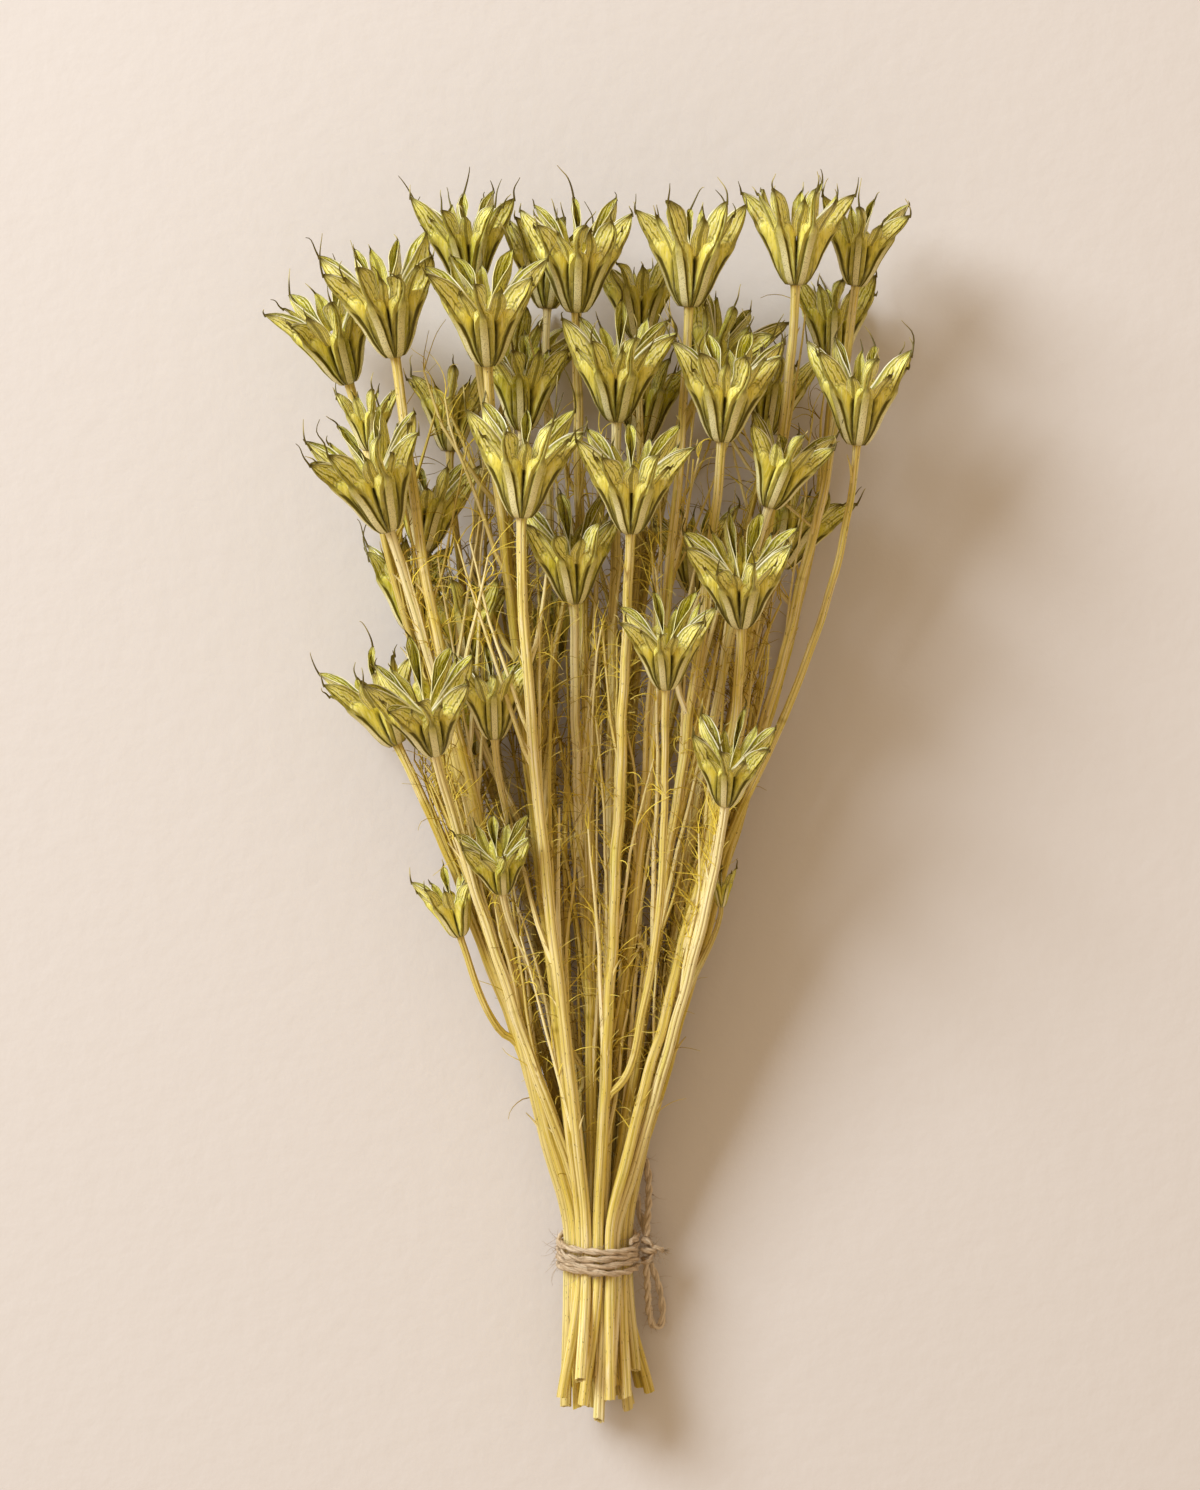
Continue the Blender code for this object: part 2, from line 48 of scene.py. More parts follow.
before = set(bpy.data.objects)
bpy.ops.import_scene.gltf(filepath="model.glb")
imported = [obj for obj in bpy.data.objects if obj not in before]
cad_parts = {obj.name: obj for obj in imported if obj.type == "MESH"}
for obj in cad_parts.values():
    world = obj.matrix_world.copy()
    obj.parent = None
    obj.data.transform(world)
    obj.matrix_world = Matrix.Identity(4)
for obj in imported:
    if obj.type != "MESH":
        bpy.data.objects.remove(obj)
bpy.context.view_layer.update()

MM = 0.001
UP = np.array([0.0, 0.0, 1.0])
SPRIGS = sorted(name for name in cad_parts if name.startswith("sprig"))
SHOOTS = sorted(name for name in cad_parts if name.startswith("shoot"))

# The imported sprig's rings of corners, counted from the middle of its cup
CUP_RING, TIP_RING, BACK_RING, BASE_RING = 0, 1, 2, 4

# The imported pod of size 1: its cup's height, its tips, and the radius that tells backs from grooves
CUP_HEIGHT = 20.0
TIP_HEIGHT = 36.5
TIP_RADIUS = 20.8
RIDGE_LIMIT = 9.0

# One follicle of size 1, by the share of its length: height and radius of its back, height and
# radius of its margins, and half widths of rib, wall and mouth. It opens past its mouth's start
BACK = ((0.0, 0.1, 1.6), (0.04, 0.3, 3.7), (0.09, 1.5, 5.0), (0.2, 5.4, 7.6), (0.34, 11.4, 10.1),
        (0.48, 17.4, 13.3), (0.58, 21.7, 15.9), (0.64, 24.0, 16.7), (0.7, 26.2, 17.9), (0.8, 29.8, 19.7),
        (0.9, 33.4, 20.8), (1.0, 36.5, 21.2))
MARGIN = ((0.0, 0.3, 0.2), (0.09, 1.6, 0.3), (0.34, 10.6, 0.3), (0.46, 15.6, 0.3), (0.53, 18.4, 0.8),
          (0.6, 21.8, 3.9), (0.67, 25.2, 6.8), (0.73, 28.0, 9.2), (0.8, 31.0, 12.0), (0.87, 33.6, 15.0),
          (0.94, 35.5, 18.4), (1.0, 36.6, 21.0))
WIDTHS = ((0.0, 0.6, 0.9, 0.15), (0.04, 0.95, 1.3, 0.15), (0.09, 1.2, 1.5, 0.15), (0.2, 1.3, 1.6, 0.15),
          (0.34, 1.35, 1.65, 0.15), (0.48, 1.35, 1.6, 0.2), (0.56, 1.25, 1.5, 0.4), (0.6, 1.0, 1.4, 0.6),
          (0.63, 0.6, 1.25, 1.1), (0.68, 0.42, 1.3, 2.0), (0.74, 0.38, 1.35, 2.9), (0.8, 0.36, 1.2, 3.2),
          (0.88, 0.32, 0.85, 2.6), (0.95, 0.28, 0.45, 1.4), (1.0, 0.2, 0.2, 0.2))
ALONG = (0.0, 0.05, 0.13, 0.24, 0.36, 0.47, 0.54, 0.585, 0.62, 0.65, 0.675,
         0.71, 0.75, 0.79, 0.83, 0.875, 0.92, 0.965, 1.0)
ACROSS = (0.0, 0.08, 0.16, 0.23, 0.32, 0.45, 0.6, 0.75, 0.9, 1.0)
MOUTH_START = 0.6

# Half a follicle, by the share of the way from its back's middle to its margin: how far in the wall
# stands, the shapes that add up to its width, where it ripples, and how thick it is. By the share of
# its length, how it thins towards the tip
INWARD = ((0, 0.16, 0.23, 0.32, 0.45, 0.75, 1.0), (-0.025, 0.0, 0.13, 0.11, 0.25, 0.66, 1.0))
RIB_SHAPE = ((0, 0.08, 0.16, 0.23, 0.32), (0, 0.62, 1.0, 0.84, 0))
WALL_SHAPE = ((0.23, 0.32, 0.6, 0.9, 1.0), (0, 0.98, 1.0, 0.3, 0))
MOUTH_SHAPE = ((0.45, 0.6, 0.75, 0.9, 1.0), (0, 0.2, 0.62, 1.0, 1.12))
SWELL_SHAPE = ((0.2, 0.32, 0.5, 0.75, 1.0), (0, 0.75, 1.0, 0.8, 0))
LIP_SHAPE = ((0.6, 1.0), (0, 0.12))
RIPPLED = ((0.1, 0.4), (0, 1))
THICKNESS = ((0, 0.2, 0.85, 1), (0.5, 0.36, 0.26, 0.2))
TIP_THINNING = ((0, 0.9, 1), (1, 0.85, 0.3))

# The seed chamber's swelling: its top, how the top arches across the wall and round which place,
# how far the wall stands out, and how soon it does so at the top and at the foot
CHAMBER_TOP = 0.655
CHAMBER_ARCH = 0.95
CHAMBER_MIDDLE = 0.56
CHAMBER_SWELL = 2.0
CHAMBER_EDGE = 0.03
CHAMBER_FOOT = 0.12

# Follicles that meet leave a hair of room between them, and open again past the mouth's start. They
# stand a little unevenly round the axis, and each mouth opens as wide as it likes
MEETING_SHARE = 0.97
MOUTH_ROOM = 3.0
LEAST_ROOM = 0.12
WIDEST_GAP = 2.0
ANGLE_SLACK = 0.06
MOUTH_RANGE = (0.6, 1.4)

# What no two follicles share: the size of a wall's ripples, its twist, its tip's bend, and its tone
RIPPLES = (0.45, 0.24)
WALL_TWIST = 0.26
TIP_BEND = (1.5, 1.2, 0.9)
TONE_SLACK = 0.12

# A follicle's dry beak: its radius at root and end, how deep its root stands in the tip, how it leans,
# how far its end may sway and curl, and its length as a share of the chosen one; one in five is longer
BEAK_RADII = (0.44, 0.12)
BEAK_POINTS = 9
BEAK_ROOT = 1.2
BEAK_LEAN = np.array([0, -0.1, 0.3])
BEAK_SWAY = ((-0.6, 0.6), (-0.8, 0.5), (-0.2, 0.2))
BEAK_HOOK = 0.12
BEAK_SHARES = (0.3, 1.1)
LONG_BEAKS = (1.0, 1.0, 1.0, 1.0, 1.7)

# The ribbon between two follicles: its foot and top, by the share of its height its width and its
# distance from the axis, its points across, and its beak as a share of a follicle's
RIBBON_FOOT = 19.0
RIBBON_TOPS = (29.5, 35.5)
RIBBON_WIDE = ((0, 0.35, 0.7, 0.9, 1.0), (0.7, 1.0, 0.8, 0.35, 0.06))
RIBBON_OUT = ((0, 0.4, 0.75, 1.0), (8.5, 12.0, 15.5, 17.5))
RIBBON_ACROSS = (-1.0, -0.55, 0.0, 0.55, 1.0)
RIBBON_BEAK = 0.6

# A ribbon's bend and waves, how far its middle stands out, and the half width its neighbours leave it
RIBBON_BEND = 1.3
RIBBON_WAVE = 0.5
RIBBON_ARCH = 0.9
RIBBON_PLACE = 14
RIBBON_ROOM = 3.2
RIBBON_HALF = (1.2, 3.4)

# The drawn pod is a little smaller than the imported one, whose tips take in the roots of the beaks
POD_SHARE = 0.94
POD_SLIM = 0.97

# Pods with a habit of their own: how wide they open, the follicles they have lost, and how slim they
# are. Pods lower in the bunch lean to olive as painted shade, and pods that open less than this have
# no ribbons
POD_HABITS = {
    "shoot_08": (1.2, (0, 3), 1.0),
    "shoot_14": (0.1, (), 0.72),
}
PLAIN_HABIT = (1.0, (), 1.0)
LIT_POD_HEIGHT = 130
RIBBON_MOUTH = 0.5

# Stems: their points' spacing, their joints, their roughness and bends, the straight stretch through
# the tie, how far back a side shoot is rooted, and the browner painted shade above the tie by the
# height over it
STEM_STEP = 3.2
STEM_INSIDE = 2.5
GUIDE_STEP = 2.5
FIRST_JOINT = (60, 200)
JOINT_SPACING = (90, 220)
JOINT_LENGTH = 2.5
JOINT_BULGE = 0.06
JOINT_FREE = 15
STEM_ROUGHNESS = 0.015
STEM_BENDS = (55.0, 24.0)
STEM_WAVER = 0.45
STEM_STRAIGHT = 90
STEM_FADE = 40
FORK_ROOT = 3
SHADE_ABOVE_TIE = ((2, 20, 80, 150), (0, 0.5, 0.5, 0))

# One flute of a stem from its groove on, how many a stem has, how deep they are and how far they
# wind, and the collar below the pod
FLUTE = (1.0, 0.3, 0.0, 0.3)
FLUTES = (4, 7)
FLUTE_DEPTHS = (0.5, 1.5)
FLUTE_WIND = 1.5
COLLAR_LENGTH = 2.2
COLLAR_RADIUS = 2.5

# A cut end's hole, ring by ring from its floor: share of the stem's radius, depth, and how much
# painted shade darkens it
HOLE = ((0.45, 2.2, 1.6), (0.6, 0.5, 1.2), (0.74, 0.0, 0.3))
CUT_SLANT = (0.1, 0.5)
CUT_ROUGHNESS = 0.25

# Dry remains of leaf stalks along a stem
STUB_START = 60
STUB_FREE = 12
STUB_SPACING = 45
STUB_LENGTH = (3, 11)
STUB_RADII = (0.75, 0.16)
STUB_POINTS = 6

# Leaves: where stalks start between tie and pod, their length and points, how far they go over to a
# second stem, which is one of the nearest, and how far from pods they end
STALK_STARTS = (0.1, 0.84)
STALK_LENGTH = (40, 130)
STALK_LEAST = 20
STALK_STEP = 7.5
STALK_SHARES = (0.15, 0.75)
STALK_SWAY = 1.6
STALK_RADII = (2.2, 7.0)
STALK_END = 1.8
NEAREST = 6
SECOND_RUN = 25
POD_FREE, SECOND_POD_FREE = 12, 8

# Tufts of threads: where the first and last may stand on a stem, how unevenly they follow each other,
# how long threads are and how they curl, and how many leave a stalk and a stem in one place
TUFT_START = (70, 110)
TUFT_END = 0.85
TUFT_SPREAD = (0.3, 1.7)
THREAD_LENGTH = (6, 26)
THREAD_POINTS = 8
THREAD_CURL = 0.33
CURL_RANGE = (0.4, 1.6)
CURL_TURN, CURL_NOISE = 0.35, 0.02
STALK_TUFT = (0, 4)
STEM_TUFT = (4, 10)

# How far apart the bunch's outline is measured, how wide its edge is, the share of tufts kept on it,
# the share of threads that may leave it, and what draws them to the bunch's middle
OUTLINE_STEP = 5.0
OUTLINE_EDGE = 5
OUTLINE_TUFTS = 0.2
STRAYS = 0.07
MIDDLE_HEIGHT = 20.0
MIDDLE_PULL = 40

# A stem is deep in the bunch when others near it lie so much higher; deep stretches get painted shade
NEIGHBOUR = 10
DEEP_FROM, DEEP_OVER = 3, 18

# Nothing drawn goes below these heights over the surface
LOWEST_TUBE = 0.2
LOWEST_POD = 0.25
LOWEST_THREAD = 0.35

# The twine's route round the stems and its thickness, and the knot's place from the tie's middle on
# the surface
WRAP_RADIUS = 14.096
TIE_HEIGHT = 15.296
WRAP_PITCH = 2.72
WRAP_TURNS = 4.1
WRAP_TILT = 0.16
WRAP_POINTS = 22
WRAP_SLACK = (0.45, 0.3)
TWINE = 2.4
KNOT = np.array([17.496, 0.0, 13.796])

# How the drawn twine is twisted: the length of one twist on turns, bow and knot, how much fuller than
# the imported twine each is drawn, one ply's strands round its core, and the plies' size and places
TURN_TWIST, BOW_TWIST, KNOT_TWIST = 15.0, 12.0, 9.0
TURN_FULLNESS, BOW_FULLNESS = 1.12, 1.18
PLIES = 2
STRANDS = (1.0, 0.95, 0.83, 0.95) * 3
STRAND_ROUGHNESS = 0.05
PLY_SIZE, PLY_AWAY = 0.3, 0.2
PLY_DRIFT = 0.7

# Loose fibres and the frayed tail: their radius at root and end, and how many stand on each part
FIBRE_RADII = (0.09, 0.04)
FIBRE_POINTS = 6
FRAY_RADII = (0.16, 0.06)
FRAY_POINTS = 5
LOOP_FIBRES, KNOT_FIBRES, FRAY_FIBRES = 60, 26, 14

# The knot's passes and its short tail, from its middle
KNOT_PASSES = (
    ((-1.6, -4.2, 1.5), (1.2, -3.2, 2.6), (1.9, 0.0, 1.2), (0.6, 2.9, -1.6), (-1.6, 3.6, -3.2)),
    ((-1.6, 4.4, 2.4), (1.0, 3.1, 3.0), (2.0, 0.2, -0.4), (0.8, -2.8, -2.2), (-1.5, -3.8, -3.6)),
    ((-1.8, 0.6, 3.6), (0.4, 0.3, 3.9), (2.6, -0.2, 2.2), (2.9, -0.5, -0.6), (1.6, -0.7, -3.2),
     (-1.2, -0.6, -4.0)),
    ((1.2, 0.6, 1.2), (2.9, 1.0, 2.3), (4.5, 0.9, 2.0), (6.0, 0.2, 1.0)),
)
TAIL_WAY = np.array([1.0, -0.3, -0.1])

# The bow's two loops, from the tie's middle on the surface
LOW_LOOP = ((17.4, -4.6, 14.5), (17.8, -10, 12), (18.1, -17, 8.5), (18.6, -23.5, 4.6),
            (20, -28.4, 2.2), (22.2, -29, 1.5), (23.6, -25.4, 1.5), (23, -18, 2),
            (21.2, -10.8, 5.6), (18.8, -4.8, 10.6))
HIGH_LOOP = ((17.4, 4.6, 14.5), (18, 9.5, 10), (18.4, 15, 5), (18.6, 22, 1.9),
             (18, 29, 1.5), (16, 33, 1.5), (13.9, 29.5, 1.5), (14, 22, 1.5),
             (14.6, 15.4, 1.8), (16, 9.6, 4.4), (18, 4.8, 10.6))
LOOP_POINTS = 24
LOOP_FINE = 12
TIE_FLOOR = np.mean(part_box("twine_knot"), axis=0) / MM - KNOT
TIE = TIE_FLOOR + np.array([0.0, 0.0, TIE_HEIGHT])

# Straw and pod walls throw back a warm sheen
WARM_SHEEN = (1.0, 0.9, 0.5, 1.0)

# Colours of the smallest marks
SPECK = (0.12, 0.08, 0.02)
POD_SPOT = (0.14, 0.13, 0.03)
POD_FOOT = (0.16, 0.1, 0.03)
BEAK_END = (0.55, 0.45, 0.16)
THREAD_END = (0.72, 0.6, 0.24)
JUTE_PATCH = (0.9, 0.73, 0.50)
# Painted shade in the grooves between a ply's strands
JUTE_GROOVE_SHADE = (0.20, 0.13, 0.06)

# The materials' places on a sprig, on a piece of leaves, and on the twine
STEM_SLOT, OUTSIDE_SLOT, INSIDE_SLOT, RIM_SLOT = range(4)
THREAD_SLOT, STALK_SLOT = range(2)
JUTE_SLOT = 0

# The Mix node's colour sockets, and its colour result
MIX_ONE, MIX_TWO, MIX_RESULT = 6, 7, 2

# Edges sharper than this stay sharp
SMOOTH_ANGLE = math.radians(50)

# Every run grows the same bunch
SPRIG_SEED = 100
LEAF_SEED = 700
TWINE_SEED = 41
FULL_TURN = 2 * math.pi

# Tubes of different tone read different stretches of the patterns
GRAIN_SHIFT = 300

# The photograph's frame, the place of the tie in it, and the size of a pixel
PICTURE = (1200, 1490)
TIE_PIXEL = (598, 1254)
PIXEL = 0.36

# The stage, in metres: the window looks at the bunch's middle, and the frame is measured a little
# above the surface
FLOOR_SIZE = 14.0
WINDOW = (-2.0, 1.5, 1.85)
FRAME_HEIGHT = 0.03
CAMERA_REACH = 50.0


# Shapes

def unit(vector):
    """The same direction, of length 1."""
    return vector / np.linalg.norm(vector)


def table_at(table, shares):
    """Smooth values from a table's rows, one column each, at the given shares."""
    rows = np.array(table)
    slopes = np.gradient(rows[:, 1:], rows[:, 0], axis=0)
    index = np.clip(np.searchsorted(rows[:, 0], shares, side="right") - 1, 0, len(rows) - 2)
    gap = (rows[index + 1, 0] - rows[index, 0])[..., None]
    t = (shares - rows[index, 0])[..., None] / gap
    return ((2 * t**3 - 3 * t**2 + 1) * rows[index, 1:] + (t**3 - 2 * t**2 + t) * gap * slopes[index]
            + (3 * t**2 - 2 * t**3) * rows[index + 1, 1:] + (t**3 - t**2) * gap * slopes[index + 1])


def lengths_along(points):
    """The length run from the first point to each of the points."""
    return np.concatenate([[0.0], np.cumsum(np.linalg.norm(np.diff(points, axis=0), axis=1))])


def smooth_line(points, step):
    """Evenly spaced points on a smooth curve through the given ones."""
    points = np.array(points, float)
    along = lengths_along(points)
    fine = table_at(np.column_stack([along, points]), np.linspace(0, along[-1], 8 * len(points)))
    return evenly(fine, max(int(lengths_along(fine)[-1] / step), 4) + 1)


def evenly(line, count):
    """So many points along a line, all the same length apart."""
    along = lengths_along(line)
    even = np.linspace(0, along[-1], count)
    return np.stack([np.interp(even, along, line[:, axis]) for axis in range(3)], axis=1)


def frames_along(points, start):
    """Two directions across a line at each point, carried along without twist."""
    tangents = np.gradient(points, axis=0)
    tangents /= np.linalg.norm(tangents, axis=1)[:, None]
    side, frames = np.array(start, float), []
    for tangent in tangents:
        side = unit(side - tangent * side.dot(tangent))
        frames.append((side, np.cross(tangent, side)))
    return np.array([pair[0] for pair in frames]), np.array([pair[1] for pair in frames])


def rings_round(points, radii, angles, start=(0.3, 0.1, 0.95)):
    """Rings of corners round a line. Radii and angles are one row for all rings, or one a ring."""
    first, second = frames_along(points, start)
    angles = np.atleast_2d(angles)
    radii = np.array(radii, float).reshape(len(points), -1)
    out = np.cos(angles)[..., None] * first[:, None] + np.sin(angles)[..., None] * second[:, None]
    return points[:, None] + out * radii[:, :, None]


def loft(rings):
    """Corners and faces of a closed surface through rings of corners."""
    count, sides = rings.shape[:2]
    corners = np.vstack([rings.reshape(-1, 3), rings[0].mean(0), rings[-1].mean(0)])
    a = (np.arange(count - 1)[:, None] * sides + np.arange(sides)).ravel()
    b = (np.arange(count - 1)[:, None] * sides + (np.arange(sides) + 1) % sides).ravel()
    faces = np.stack([a, b, b + sides, a + sides], axis=1).tolist()
    last, turn = (count - 1) * sides, np.arange(sides)
    faces += np.stack([(turn + 1) % sides, turn, np.full(sides, count * sides)], axis=1).tolist()
    faces += np.stack([last + turn, last + (turn + 1) % sides, np.full(sides, count * sides + 1)],
                      axis=1).tolist()
    return corners, faces


def spaced_marks(shape, *channels):
    """The four values that the materials read at each corner, channel by channel."""
    marks = np.zeros((*shape, 4))
    for index, channel in enumerate(channels):
        marks[..., index] = channel
    return marks


def tube_grain(angles, along, width=1.0):
    """Pattern coordinates that run round and along a tube."""
    grain = np.zeros((len(along), len(angles), 3))
    grain[..., 0], grain[..., 1] = width * np.cos(angles), width * np.sin(angles)
    grain[..., 2] = along[:, None]
    return grain


class Growth:
    """Closed surfaces gathered for one piece, with what its materials read."""

    def __init__(self):
        self.corners, self.faces, self.slots, self.marks, self.grain = [], [], [], [], []
        self.count = 0

    def add(self, corners, faces, slots, marks, grain):
        """Takes in one surface; its slots are one for all faces, or one a face."""
        self.corners.append(corners)
        self.faces += [[index + self.count for index in face] for face in faces]
        self.slots += [slots] * len(faces) if isinstance(slots, int) else slots
        self.marks.append(marks)
        self.grain.append(grain)
        self.count += len(corners)

    def tube(self, points, radii, sides, slot, tone):
        """A plain thread along points, closed at both ends."""
        angles = FULL_TURN * np.arange(sides) / sides
        corners, faces = loft(rings_round(points, radii, angles))
        corners[:, 2] = np.maximum(corners[:, 2], LOWEST_THREAD)
        share = np.linspace(0, 1, len(points))[:, None]
        marks = spaced_marks((len(points), sides), 0, share, tone)
        grain = tube_grain(angles, lengths_along(points) + GRAIN_SHIFT * tone)
        self.add(corners, faces, slot, with_ends(marks), with_ends(grain))

    def piece(self, name, materials):
        """The finished mesh object, in metres, riding on the bunch."""
        data = bpy.data.meshes.new(name)
        data.from_pydata((np.vstack(self.corners) * MM).tolist(), [], self.faces)
        data.polygons.foreach_set("material_index", self.slots)
        data.attributes.new("growth", "FLOAT_COLOR", "POINT")
        data.attributes["growth"].data.foreach_set("color", np.vstack(self.marks).ravel())
        data.attributes.new("grain", "FLOAT_VECTOR", "POINT")
        data.attributes["grain"].data.foreach_set("vector", np.vstack(self.grain).ravel())
        for material in materials:
            data.materials.append(material)
        item = bpy.data.objects.new(name, data)
        bpy.context.scene.collection.objects.link(item)
        select_only(item)
        bpy.ops.object.mode_set(mode="EDIT")
        bpy.ops.mesh.select_all(action="SELECT")
        bpy.ops.mesh.normals_make_consistent(inside=False)
        bpy.ops.object.mode_set(mode="OBJECT")
        bpy.ops.object.shade_smooth_by_angle(angle=SMOOTH_ANGLE)
        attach(item, "root")
        return item


def select_only(item):
    """Selects one object alone and makes it active."""
    bpy.ops.object.select_all(action="DESELECT")
    item.select_set(True)
    bpy.context.view_layer.objects.active = item


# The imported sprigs, read back

def corner_rings(node):
    """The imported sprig's rings of corners, from the pod's cup back to the cut end."""
    mesh = bmesh.new()
    mesh.from_mesh(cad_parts[node].data)
    bmesh.ops.remove_doubles(mesh, verts=mesh.verts[:], dist=1e-6)
    level = [max(mesh.verts, key=lambda corner: len(corner.link_edges))]
    seen, rings = set(level), []
    while level:
        rings.append(np.array([corner.co for corner in level]) / MM)
        around = [edge.other_vert(corner) for corner in level for edge in corner.link_edges]
        level = [corner for corner in dict.fromkeys(around) if corner not in seen]
        seen.update(level)
    mesh.free()
    return rings


class Sprig:
    """One packed sprig: the line of its stem, and the place of its pod and follicles."""

    def __init__(self, node):
        self.name, rings = node, corner_rings(node)
        centres = np.array([ring.mean(0) for ring in rings])
        self.base, cup = centres[BASE_RING], centres[CUP_RING]
        self.axis = unit(cup - self.base)
        self.size = np.linalg.norm(cup - self.base) / CUP_HEIGHT
        self.side = unit(np.cross(self.axis, UP))
        self.up = np.cross(self.side, self.axis)
        self.line = centres[BASE_RING:][::-1]
        self.radii = np.array([np.linalg.norm(ring - ring.mean(0), axis=1).mean()
                               for ring in rings[BASE_RING:][::-1]])
        backs, tips = self.outer(rings[BACK_RING]), self.outer(rings[TIP_RING])
        self.follicles = []
        for angle, _, _ in sorted(backs):
            tip = max(tips, key=lambda other: math.cos(other[0] - angle))
            self.follicles.append((angle, tip[1] / self.size, tip[2] / self.size))

    def outer(self, ring):
        """Angle, height and radius of the ring's corners that lie on the follicles' backs."""
        found = []
        for corner in ring - self.base:
            x, y = corner.dot(self.side), corner.dot(self.up)
            if math.hypot(x, y) > RIDGE_LIMIT * self.size:
                found.append((math.atan2(x, y), corner.dot(self.axis), math.hypot(x, y)))
        return found


def fork_line(line, others):
    """A side shoot's line, begun inside the nearest main stem."""
    best = min(others, key=lambda other: np.linalg.norm(other - line[0], axis=1).min())
    index = int(np.linalg.norm(best - line[0], axis=1).argmin())
    inside = best[max(index - FORK_ROOT, 0)]
    return np.vstack([inside, (inside + best[index] + line[0]) / 3, line])


# Pods

def follicle_grid(follicle, apart, mouth, draw):
    """One follicle's folded wall: sideways, outward and upward at each row and column.

    The wall stops halfway to the follicles beside it, which stand apart by two angles.
    """
    _, tip_height, tip_radius = follicle
    v = np.array(ALONG)[:, None]
    across = np.concatenate([-np.array(ACROSS[:0:-1]), ACROSS])[None, :]
    a = np.abs(across)
    back, margin, widths = (table_at(table, v[:, 0]) for table in (BACK, MARGIN, WIDTHS))
    late = np.clip((v - MOUTH_START) / (1 - MOUTH_START), 0, 1)
    longer = late * np.array([[tip_height - TIP_HEIGHT, tip_radius - TIP_RADIUS]])
    inward = np.interp(a, *INWARD)
    place = back[:, None, :] + longer[:, None, :] + (margin - back)[:, None, :] * inward[..., None]
    upward, outward = place[..., 0], place[..., 1]

    rib, wall, gap = widths[:, :1], widths[:, 1:2], widths[:, 2:]
    top = CHAMBER_TOP - CHAMBER_ARCH * (a - CHAMBER_MIDDLE) ** 2
    inside = np.clip((top - v) / CHAMBER_EDGE, 0, 1)
    swell = (CHAMBER_SWELL * inside**2 * (3 - 2 * inside) * np.clip(v / CHAMBER_FOOT, 0.1, 1)
             * np.interp(a, *SWELL_SHAPE))
    phase = draw.uniform(0, FULL_TURN, 6)
    ripple = (RIPPLES[0] * np.sin(17 * v + phase[0]) * np.sin(5 * across + phase[1])
              + RIPPLES[1] * np.sin(41 * v + 7 * across + phase[2])) * late * np.interp(a, *RIPPLED)
    wide = (rib * np.interp(a, *RIB_SHAPE) + wall * np.interp(a, *WALL_SHAPE)
            + gap * mouth * np.interp(a, *MOUTH_SHAPE) * late + np.interp(a, *LIP_SHAPE) + swell)
    room = MEETING_SHARE * outward * np.where(across < 0, *np.tan(np.array(apart) / 2))
    room = np.maximum(room + MOUTH_ROOM * late, LEAST_ROOM)
    sideways = np.sign(across) * np.minimum(wide, room) + ripple
    twist = draw.normal(0, WALL_TWIST) * late * (outward[:, :1].max(axis=1, keepdims=True) - outward)
    bend = draw.normal(0, 1, 3) * late**2 * TIP_BEND
    grid = np.stack([sideways + twist + bend[:, :1], outward + np.abs(bend[:, 1:2]) * 1.2 - 0.3 * late,
                     upward + bend[:, 2:]], axis=2)
    # Painted shade where this wall touches its neighbour's, carried as negative values below the
    # chamber's top
    meeting_shade = np.clip((wide / room - 0.7) / 0.3, 0, 1) * (1 - late)
    fold_and_shade = np.clip(0.5 + 4 * (v - top), 0, 1) - meeting_shade * np.clip((top - v) / 0.15, 0, 1)
    return grid, spaced_marks(wide.shape, a, v, 0, fold_and_shade)


def walled(grid, marks):
    """Both faces of a folded wall: its corners, faces, slots and marks."""
    rows, columns = grid.shape[:2]
    normal = np.cross(np.gradient(grid, axis=0), np.gradient(grid, axis=1))
    normal /= np.maximum(np.linalg.norm(normal, axis=2), 1e-9)[:, :, None]
    if normal[rows // 3, columns // 2, 1] < 0:
        normal = -normal
    a, v = marks[..., 0], marks[..., 1]
    thick = np.interp(a, *THICKNESS) * np.interp(v, *TIP_THINNING)
    corners = np.vstack([grid.reshape(-1, 3), (grid - normal * thick[..., None]).reshape(-1, 3)])
    index = np.arange(rows * columns).reshape(rows, columns)
    corner = [part.ravel() for part in (index[:-1, :-1], index[:-1, 1:], index[1:, 1:], index[1:, :-1])]
    inner = rows * columns
    outside = np.stack(corner, axis=1)
    inside = np.stack(corner[::-1], axis=1) + inner
    edge = np.concatenate([index[0, :], index[1:, -1], index[-1, -2::-1], index[-2:0:-1, 0]])
    following = np.roll(edge, -1)
    rim = np.stack([edge, edge + inner, following + inner, following], axis=1)
    faces = outside.tolist() + inside.tolist() + rim.tolist()
    slots = [OUTSIDE_SLOT] * len(outside) + [INSIDE_SLOT] * len(inside) + [RIM_SLOT] * len(rim)
    return corners, faces, slots, np.tile(marks.reshape(-1, 4), (2, 1))


def add_beak(growth, place, grid, length, draw, tone):
    """The dry thread that the follicle's style has become."""
    middle = grid.shape[1] // 2
    tip, before = grid[-1, middle], grid[-4, middle]
    way = unit(unit(tip - before) + BEAK_LEAN)
    away = np.array([draw.uniform(*reach) for reach in BEAK_SWAY])
    t = np.linspace(0, 1, BEAK_POINTS)[:, None]
    hook = BEAK_HOOK * np.sin(t * draw.uniform(3, 7)) * unit(draw.normal(size=3))
    points = tip - way * BEAK_ROOT + (way * t + away * 0.55 * t**2 + hook * t) * length
    growth.tube(place(points), np.linspace(*BEAK_RADII, BEAK_POINTS), 5, RIM_SLOT, tone)
    growth.marks[-1][:, 0] = 0.0
    growth.marks[-1][:, 1] = 1.0 + growth.marks[-1][:, 1] * draw.choice((0.0, 0.7, 1.0))


